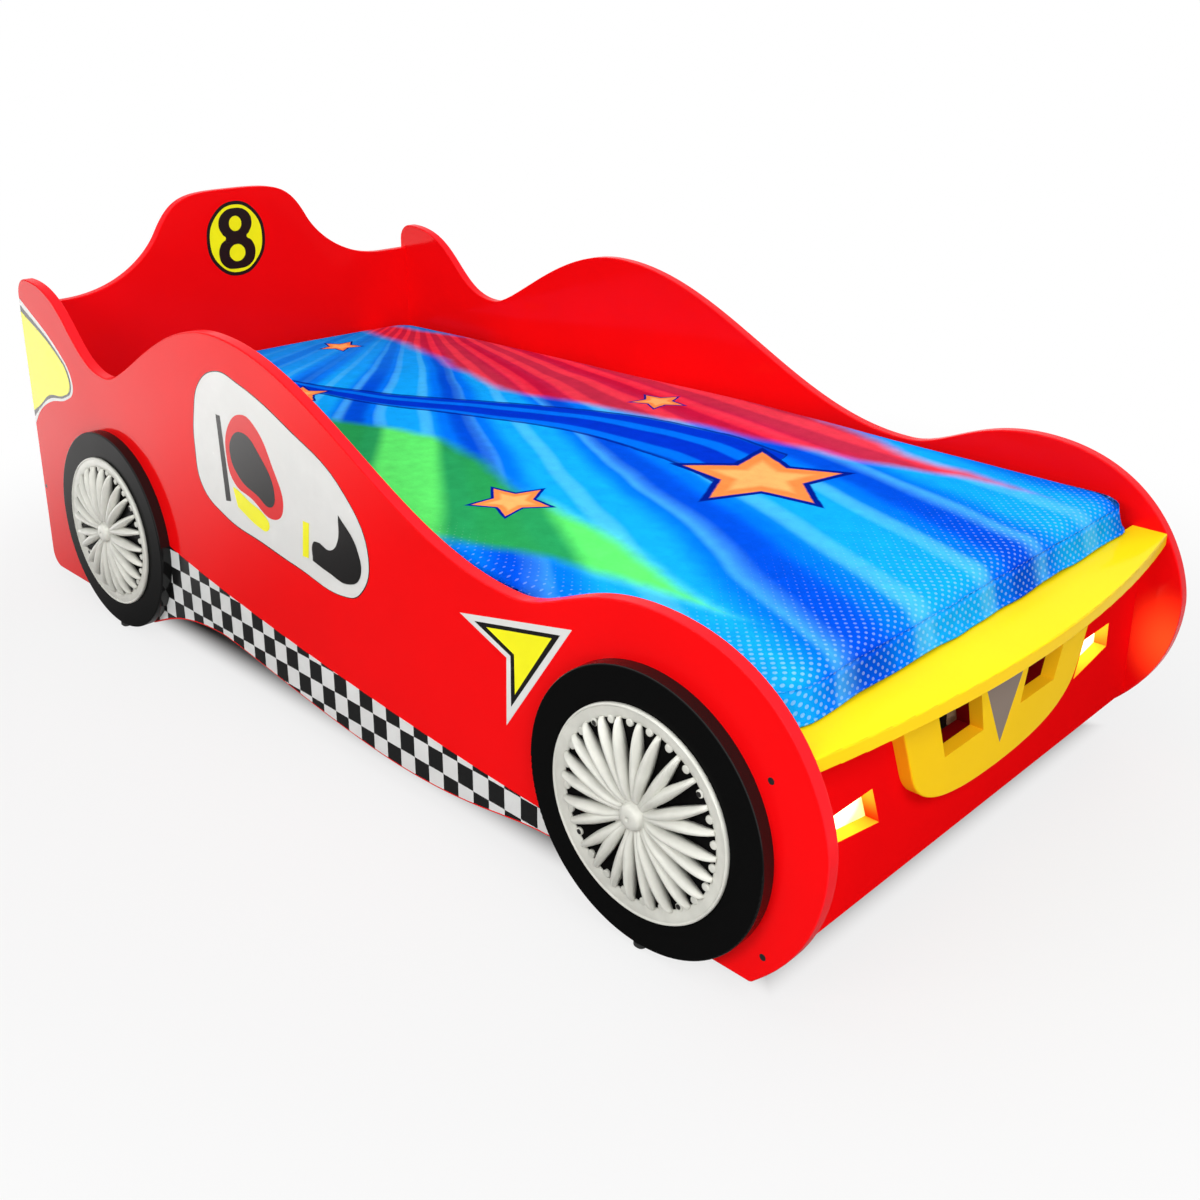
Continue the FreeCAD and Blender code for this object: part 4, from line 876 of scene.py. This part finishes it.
TRIANGLE_LOW, TRIANGLE_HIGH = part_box("grille_triangle")
film("grille_triangle_film",
     [("grey", [[(TRIANGLE_LOW.y, TRIANGLE_HIGH.z, 0), (0, TRIANGLE_LOW.z, 0),
                 (TRIANGLE_HIGH.y, TRIANGLE_HIGH.z, 0)]])],
     on_end(GRILLE_FACE), "grille_triangle", "triangle_print")

# %% [markdown]
# ## Headlamps
#
# Right behind each opening sits a frosted plate with a small circuit board behind it. The plate is
# white-hot near its outer top corner and turns yellow towards the middle of the car, so it doesn't look
# like an even tile of light.

# %% Lamp finishes
HOT_PLACE = (0.014, 0.008)  # the hottest place, outwards and up from the plate's middle
HOT_REACH = (0.050, 0.032)


def lamp_glow():
    finish = Finish("lamp_glow", roughness=0.5, base_color=rgb(1.0, 0.93, 0.75))
    _, y, z = finish.place()
    off_y = (abs(y) - (LAMP_MIDDLE.y + HOT_PLACE[0])) / HOT_REACH[0]
    off_z = (z - (LAMP_MIDDLE.z + HOT_PLACE[1])) / HOT_REACH[1]
    hot = 1 - (off_y * off_y + off_z * off_z).step(0.15, 1.7)
    finish.set(emission_color=finish.mix(hot, rgb(0.40, 0.19, 0.012), rgb(1.0, 0.90, 0.50)))
    finish.set(emission_strength=2.6)
    return finish


dress(lamp_glow(), "headlamp_diffuser_left", "headlamp_diffuser_right")
dress(moulded_plastic("lamp_shell", rgb(0.90, 0.80, 0.62), 0.45), "headlamp_box_left", "headlamp_box_right")

# %% [markdown]
# ## The slatted base
#
# Rails, slats and legs are planed pine. Its grain is noise pulled out along the board: the same noise
# becomes a slat, a rail or a leg, depending on which axis it is stretched along.

# %% Pine along each axis
def pine(name, along):
    finish = Finish(name, specular_ior_level=0.35)
    sizes = [26.0, 26.0, 26.0]
    sizes[along] = 1.6
    rings = finish.grain(1.0, 4.0, 0.6, stretch=sizes)
    stripes = (rings * 9.0).apply("FRACT").step(0.0, 0.9)
    fine = finish.grain(1.0, 2.0, stretch=[size * 12 for size in sizes])
    pale = finish.mix(fine.step(0.3, 0.7), rgb(0.72, 0.52, 0.30), rgb(0.80, 0.62, 0.40))
    finish.set(base_color=finish.mix(stripes * 0.45, pale, rgb(0.58, 0.34, 0.15)))
    finish.set(roughness=0.48 + fine * 0.2)
    finish.set(normal=finish.bump(fine, 0.00012, finish.bump(stripes, 0.00012)))
    return finish


dress(pine("pine_lengthways", 0), "ledger_rail_left", "ledger_rail_right", "centre_rail")
SLATS = [name for name in NODES if name.startswith("slat_") and name != "slat_screws"]
dress(pine("pine_crossways", 1), "rail_cleats", *SLATS)
dress(pine("pine_upright", 2), "centre_legs")
print("slats:", len(SLATS))

# %% [markdown]
# The lamps run on a battery. Its box, the switch and the leads are plain moulded plastic behind the front
# panel, where nobody looks for long, so each gets one quiet finish.

# %% Battery box, switch and leads
dress(moulded_plastic("box_plastic", rgb(0.040, 0.040, 0.043), 0.55), "battery_box", "battery_lid",
      "switch_housing")
dress(moulded_plastic("rocker_plastic", rgb(0.030, 0.030, 0.033), 0.25), "switch_rocker")
dress(moulded_plastic("wire_jacket", rgb(0.030, 0.030, 0.030), 0.5), "lamp_wiring", "wire_clips")


CELL_BAND = 0.012  # a cell's jacket is copper-coloured past this place
BOARD_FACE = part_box("led_boards")[0].x + 0.0017


def cell_jacket():
    finish = Finish("cell_jacket", metallic=0.6)
    _, y, _ = finish.place()
    copper = y > CELL_BAND
    finish.set(base_color=finish.mix(copper, rgb(0.030, 0.030, 0.034), rgb(0.62, 0.34, 0.12)))
    finish.set(roughness=0.25 + finish.grain(300.0) * 0.2)
    return finish


def circuit_board():
    finish = Finish("circuit_board", roughness=0.45)
    x, _, _ = finish.place()
    raised = x > BOARD_FACE
    finish.set(base_color=finish.mix(raised, rgb(0.02, 0.16, 0.06), rgb(0.95, 0.90, 0.60)))
    return finish


dress(cell_jacket(), "battery_cells")
dress(circuit_board(), "led_boards")

# %% [markdown]
# ## The mattress
#
# A mattress is a soft block: its top is crowned, its long sides are drawn in a little, and its edges are
# rounded. A grid of points makes the top. From its rim, rings of points run over the edge and down the
# side. Each ring is a rounded rectangle, and slow noise pushes its points, so the block looks soft.

# %% Rounded-rectangle rings
COVER_LOW, COVER_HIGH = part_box("mattress_cover")
CORE_LOW, CORE_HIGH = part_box("mattress_core")
MIDDLE = (COVER_LOW + COVER_HIGH) / 2
HALF_LENGTH = (COVER_HIGH.x - COVER_LOW.x) / 2
HALF_WIDTH = (COVER_HIGH.y - COVER_LOW.y) / 2
CORNER = 0.060  # the plan's corner radius
ROUNDING = 0.034  # the radius of the top edge
EDGE_RINGS = 6  # rings over that edge
CROWN = 0.008  # the top's fall from the middle to a long side
BOW = 0.014  # and to an end
WAIST = 0.004  # how far the long sides are drawn in
CELL = 0.020  # spacing of the points on the mattress's top
COLUMNS = round(2 * HALF_LENGTH / CELL)
ROWS = round(2 * HALF_WIDTH / CELL)


def plan_point(u, v, inset):
    """A point of the plan: u and v run from -1 to 1 over the block, which is drawn in by inset."""
    half_x = HALF_LENGTH - inset
    half_y = HALF_WIDTH - inset
    corner = max(CORNER - inset, 0.012)
    x, y = u * half_x, v * half_y
    a = (abs(x) - (half_x - corner)) / corner
    b = (abs(y) - (half_y - corner)) / corner
    if a > 0 and b > 0:
        x = math.copysign(half_x - corner + corner * a * math.sqrt(1 - b * b / 2), x)
        y = math.copysign(half_y - corner + corner * b * math.sqrt(1 - a * a / 2), y)
    y -= math.copysign(WAIST * max(0.0, 1 - (x / half_x) ** 2) * abs(v), y)
    return x, y


def crown_drop(x, y):
    """How far the top lies below its highest point."""
    return CROWN * (y / HALF_WIDTH) ** 2 + BOW * (x / HALF_LENGTH) ** 2


GRID_U = [-1 + 2 * i / COLUMNS for i in range(COLUMNS + 1)]
GRID_V = [-1 + 2 * j / ROWS for j in range(ROWS + 1)]
RIM = [(u, -1) for u in GRID_U[:-1]] + [(1, v) for v in GRID_V[:-1]]  # once round the grid, as (u, v)
RIM += [(u, 1) for u in reversed(GRID_U[1:])] + [(-1, v) for v in reversed(GRID_V[1:])]


def soft_block(top_z, side_rings, push):
    """Points and faces of a mattress-like block, and its last ring.

    side_rings are (z, inset) from the top down; push moves each finished point."""
    points, faces = [], []
    for v in GRID_V:
        for u in GRID_U:
            x, y = plan_point(u, v, ROUNDING)
            points.append(push(x, y, top_z - crown_drop(x, y), 0.0))
    for j in range(ROWS):
        for i in range(COLUMNS):
            a = j * (COLUMNS + 1) + i
            faces.append((a, a + 1, a + COLUMNS + 2, a + COLUMNS + 1))
    bands = []
    for k in range(EDGE_RINGS + 1):
        turn = math.pi / 2 * k / EDGE_RINGS
        drop = ROUNDING * (1 - math.cos(turn))
        edge = [plan_point(u, v, ROUNDING * (1 - math.sin(turn))) for u, v in RIM]
        bands.append([push(x, y, top_z - crown_drop(x, y) - drop, drop / ROUNDING * 0.5)
                      for x, y in edge])
    for z, inset in side_rings:
        bands.append([push(*plan_point(u, v, inset), z, 1.0) for u, v in RIM])
    faces += skin(bands, start=len(points))
    points += [point for band in bands for point in band]
    return points, faces, bands[-1]


# %% [markdown]
# The ticking of the core shows only when the mattress is lifted out: a white cloth with a diamond quilting,
# whose valleys get a painted shade, and a piping round its lower edge.

# %% The mattress core
CORE_INSET = CORE_LOW.x - COVER_LOW.x
CORE_SIDE = [(0.090, 0), (0.060, 0.001), (0.030, 0.0005), (0.014, 0.002), (0.005, 0.006), (0, 0.014)]
COVER_DENT = 0.006  # the core's top is built this much lower, clear of the cover's dents
PIPING_HEIGHT = 0.012
QUILT_WAVES = 26.0  # radians in a metre


def tube(name, loop, radius):
    """A closed tube along a loop of points."""
    rings = []
    count = len(loop)
    for i in range(count):
        ahead = Vector(loop[(i + 1) % count]) - Vector(loop[i - 1])
        out = ahead.cross(Vector((0, 0, 1))).normalized()
        up = out.cross(ahead.normalized())
        rings.append([Vector(loop[i]) + out * (radius * u) + up * (radius * v) for u, v in circle(8)])
    rings.append(rings[0])
    return make_piece(name, *stack(rings))


def ticking():
    finish = Finish("ticking", specular_ior_level=0.15, sheen_weight=0.3)
    x, y, z = finish.place()
    across = abs(((x + y + z) * QUILT_WAVES).apply("SINE"))
    other = abs(((x - y - z) * QUILT_WAVES).apply("SINE"))
    quilt = across.apply("MINIMUM", other).step(0.0, 0.35)
    weave = finish.grain(900.0, detail=1.0)
    # painted shade: the quilting's valleys are darker grey
    finish.set(base_color=finish.mix(quilt, rgb(0.66, 0.65, 0.62), rgb(0.86, 0.85, 0.82)))
    finish.set(roughness=0.85 + weave * 0.1)
    finish.set(normal=finish.bump(weave, 0.0002, finish.bump(quilt, 0.0030)))
    return finish


def push_core(x, y, z, side):
    """Slow waves in the core's sides."""
    grow = 1 + 0.0012 * noise.noise(Vector((x * 6, y * 6, z * 9))) * side
    return (MIDDLE.x + x * grow, y * grow, z)


def build_core():
    sides = [(CORE_LOW.z + rise, CORE_INSET + inset) for rise, inset in CORE_SIDE]
    points, faces, last = soft_block(CORE_HIGH.z - COVER_DENT, sides, push_core)
    faces.append(tuple(range(len(points) - len(last), len(points))))
    core = make_piece("mattress_block", points, faces)
    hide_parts("mattress_core")
    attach(core, "mattress")
    seam = [plan_point(u, v, CORE_INSET + 0.0015) for u, v in RIM]
    height = CORE_LOW.z + PIPING_HEIGHT
    piping = tube("mattress_piping", [(MIDDLE.x + x, y, height) for x, y in seam], 0.0026)
    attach(piping, "mattress")
    ticking().on(core, piping)
    print("mattress core, faces:", len(core.data.polygons))


build_core()

# %% [markdown]
# ## The plush cover
#
# The fitted cover is a single sheet: it lies on the crown, turns over the edges and ends in a loose hem
# that spreads a little over the yellow shelf. One fault is left in it: its first side ring starts higher
# than the rounded edge ends, so the sheet doubles back there, and small gaps show when it is lifted out.

# %% The cover's cloth
HEM_Z = COVER_LOW.z
HEM_FLARE = 0.011  # how far the hem spreads at the foot end
HEM_REACH = 0.055  # the spreading starts this far above the hem
COVER_SIDE = (0.045, 0.034, 0.023, 0.013, 0.006, 0.0015)  # the side rings' heights above the hem


def wrinkle(x, y, z, side):
    """Slow dents on the top, and folds that run down the sides and gather at the corners."""
    slow = noise.noise(Vector((x * 2.3, y * 2.3, 4.0))) * 0.0035
    ripple = noise.noise(Vector((x * 9.0, y * 9.0, 9.0))) * 0.0010
    near_corner = (abs(x) / HALF_LENGTH) ** 8 * (abs(y) / HALF_WIDTH) ** 6
    fold = noise.noise(Vector((x * 17.0, y * 17.0, z * 3.0))) * (0.0028 + 0.004 * near_corner)
    return (slow + ripple) * (1 - side) - 0.003 * (1 - side), fold * side


def push_cover(x, y, z, side):
    lift, fold = wrinkle(x, y, z, side)
    down = max(0.0, min(1.0, (HEM_Z + HEM_REACH - z) / HEM_REACH)) if side >= 1 else 0.0
    at_front = max(0.0, min(1.0, (x / HALF_LENGTH - 0.9) / 0.1))
    flare = down ** 2 * HEM_FLARE * at_front + down ** 2 * 0.002
    away = Vector((x * (HALF_WIDTH / HALF_LENGTH), y, 0)).normalized()
    grow = fold + flare
    wave = noise.noise(Vector((x * 8.0, y * 8.0, 2.0))) * 0.009 * down * at_front
    return (MIDDLE.x + x + away.x * grow, y + away.y * grow, z + lift + max(wave, -0.001))


def build_cover():
    top = COVER_HIGH.z
    points, faces, hem = soft_block(top, [(HEM_Z + rise, 0.0) for rise in COVER_SIDE], push_cover)
    cover = make_piece("fitted_cover", points, faces)
    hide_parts("mattress_cover")
    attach(cover, "mattress")
    rolled = tube("cover_hem", hem, 0.0022)
    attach(rolled, "mattress")
    return cover, rolled, [2 * (half + top - HEM_Z) for half in (HALF_WIDTH, HALF_LENGTH)]


cover, cover_hem, cover_flat = build_cover()

# %% [markdown]
# The print is drawn by the shader in the bed's own coordinates, the way a painter would: soft rays fan out
# from the far head corner, a green and a red field lie over them, a shooting star draws its deep blue tail
# through the middle, and small stars and dots come last. A star is a circle whose radius depends on the
# direction: it swings between the tips and the notches five times in a turn.

# %% Motifs
def star(x, y, place, radius, turn):
    """How far inside a five-pointed star a point lies: above 0 within, below 0 outside."""
    u, v = x - place[0], y - place[1]
    fifth = 2 * math.pi / 5
    angle = v.apply("ARCTAN2", u) + turn
    fold = abs(angle.apply("FLOORED_MODULO", fifth) - fifth / 2)
    notch = radius * 0.50
    reach = (u * u + v * v).apply("SQRT")
    slope = (fifth / 2 - fold).apply("SINE") * radius + fold.apply("SINE") * notch
    return radius * notch * math.sin(fifth / 2) - reach * slope


def dots(x, y, cell, size):
    """A turned grid of round dots. size is a dot's radius as a share of its cell."""
    u = ((x + y) / (cell * 1.414)).apply("FLOORED_MODULO", 1.0) - 0.5
    v = ((x - y) / (cell * 1.414)).apply("FLOORED_MODULO", 1.0) - 0.5
    return 1 - ((u * u + v * v).apply("SQRT") - size).step(-0.05, 0.05)


STARS = [((0.47, 0.095), 0.170, 0.3), ((0.24, -0.29), 0.080, 0.9), ((-0.58, -0.16), 0.072, 0.1),
         ((-0.90, 0.18), 0.060, 0.5), ((0.02, 0.33), 0.066, 1.0)]


# %% Fields and the shooting star
def field(x, y, fray, middle, narrowing, half_width):
    """1 inside a long field of colour that narrows to both its ends, and 0 outside."""
    off = abs(y - middle[1]) + abs(x - middle[0]) * narrowing
    return 1 - (off + fray * 0.012).step(half_width, half_width + 0.050)


def shooting_star(x, y, slow, fray):
    """Masks of the tail that swings down the cover, of its streaks, and of the dark line round it."""
    bend = y - 0.02 - (x * 3.4 + 0.8).apply("SINE") * 0.13 + slow * 0.05
    run = ((x + 0.82) / 1.25).apply("MAXIMUM", 0.0).apply("POWER", 0.75)
    body = run * 0.112 * (1 - x.step(0.42, 0.46)) - 0.012
    inside = body - abs(bend) + fray * 0.006
    tail = inside.step(-0.004, 0.004)
    streaks = ((bend / (body + 0.03)) * 8.0 + slow * 3.0).apply("SINE").step(0.1, 0.8)
    return tail, streaks, (inside + 0.009).step(-0.003, 0.003) - tail


# %% The plush and its print
AZURE, CYAN = rgb(0.001, 0.165, 0.900), rgb(0.006, 0.360, 0.950)
DEEP, NIGHT = rgb(0.001, 0.032, 0.560), rgb(0.001, 0.012, 0.250)
PALE, WHITE = rgb(0.11, 0.58, 0.97), rgb(0.66, 0.88, 0.98)
RAYS_FROM = (-1.15, 0.62)
GREEN_MIDDLE = (-0.12, -0.36)
RED_MIDDLE = (-0.22, 0.38)
DOT_CELL = 0.0125


def plush():
    finish = Finish("plush_cover", specular_ior_level=0.0)
    x, y, z = finish.place()
    slow = finish.grain(2.4, detail=2.0) - 0.5
    fray = finish.grain(38.0, detail=4.0) - 0.5
    angle = (y - RAYS_FROM[1] + slow * 0.03).apply("ARCTAN2", x - RAYS_FROM[0])
    ray = (angle * 34.0 + slow * 0.8).apply("SINE")
    fine_ray = (angle * 83.0 + slow * 1.6).apply("SINE")
    colour = finish.mix(ray.step(-0.5, 0.6), AZURE, CYAN)
    colour = finish.mix(fine_ray.step(0.35, 1.0) * 0.45, colour, PALE)
    colour = finish.mix((1 - ray.step(-1.0, -0.55)) * 0.7, colour, DEEP)
    head = 1 - (x + slow * 0.35).step(-0.95, -0.45)
    colour = finish.mix(head * 0.75, colour, rgb(0.012, 0.235, 0.830))
    green = field(x, y + slow * 0.12, fray, GREEN_MIDDLE, 0.22, 0.165)
    greens = finish.mix(ray.step(-0.2, 0.5), rgb(0.020, 0.32, 0.045), rgb(0.115, 0.80, 0.095))
    colour = finish.mix(green * 0.94, colour, greens)
    red = field(x, y - slow * 0.12, fray, RED_MIDDLE, 0.20, 0.175)
    reds = finish.mix(fine_ray.step(-0.3, 0.6), rgb(0.56, 0.004, 0.009), rgb(0.84, 0.018, 0.020))
    colour = finish.mix(red * 0.94, colour, reds)
    tail, streaks, line = shooting_star(x, y, slow, fray)
    colour = finish.mix(tail, colour, finish.mix(streaks, DEEP, rgb(0.001, 0.150, 0.840)))
    colour = finish.mix(line * 0.9, colour, NIGHT)
    for place, radius, turn in STARS:
        inside = star(x + fray * 0.004, y + fray * 0.004, place, radius, turn) / (radius * radius)
        colour = finish.mix(inside.step(-0.02, 0.0), colour, NIGHT)
        colour = finish.mix(inside.step(0.030, 0.050), colour, rgb(0.90, 0.245, 0.060))
        colour = finish.mix(inside.step(0.100, 0.170), colour, rgb(0.93, 0.420, 0.130))
    near_rim = (x.step(0.55, 1.05) + (1 - y.step(-0.52, -0.36)) * 0.7).apply("MINIMUM", 1.0)
    speckle = dots(x - z, y, DOT_CELL, near_rim * 0.26)
    colour = finish.mix(speckle * near_rim * 0.24, colour, WHITE)
    nap = finish.grain(420.0, detail=3.0, roughness=0.7)
    tuft = finish.grain(34.0, detail=5.0, roughness=0.62)
    tone = nap * 0.16 + tuft * 0.42 + 0.70
    shade = finish.node("CombineColor", sockets={0: tone, 1: tone, 2: tone})
    finish.set(base_color=finish.mix(1.0, colour, shade, blend="MULTIPLY"))
    finish.set(roughness=0.88 + nap * 0.1)
    finish.set(normal=finish.bump(nap, 0.0010, finish.bump(tuft, 0.0022)))
    return finish


plush().on(cover, cover_hem)
print("cover, flat, metres:", [round(side, 3) for side in cover_flat])
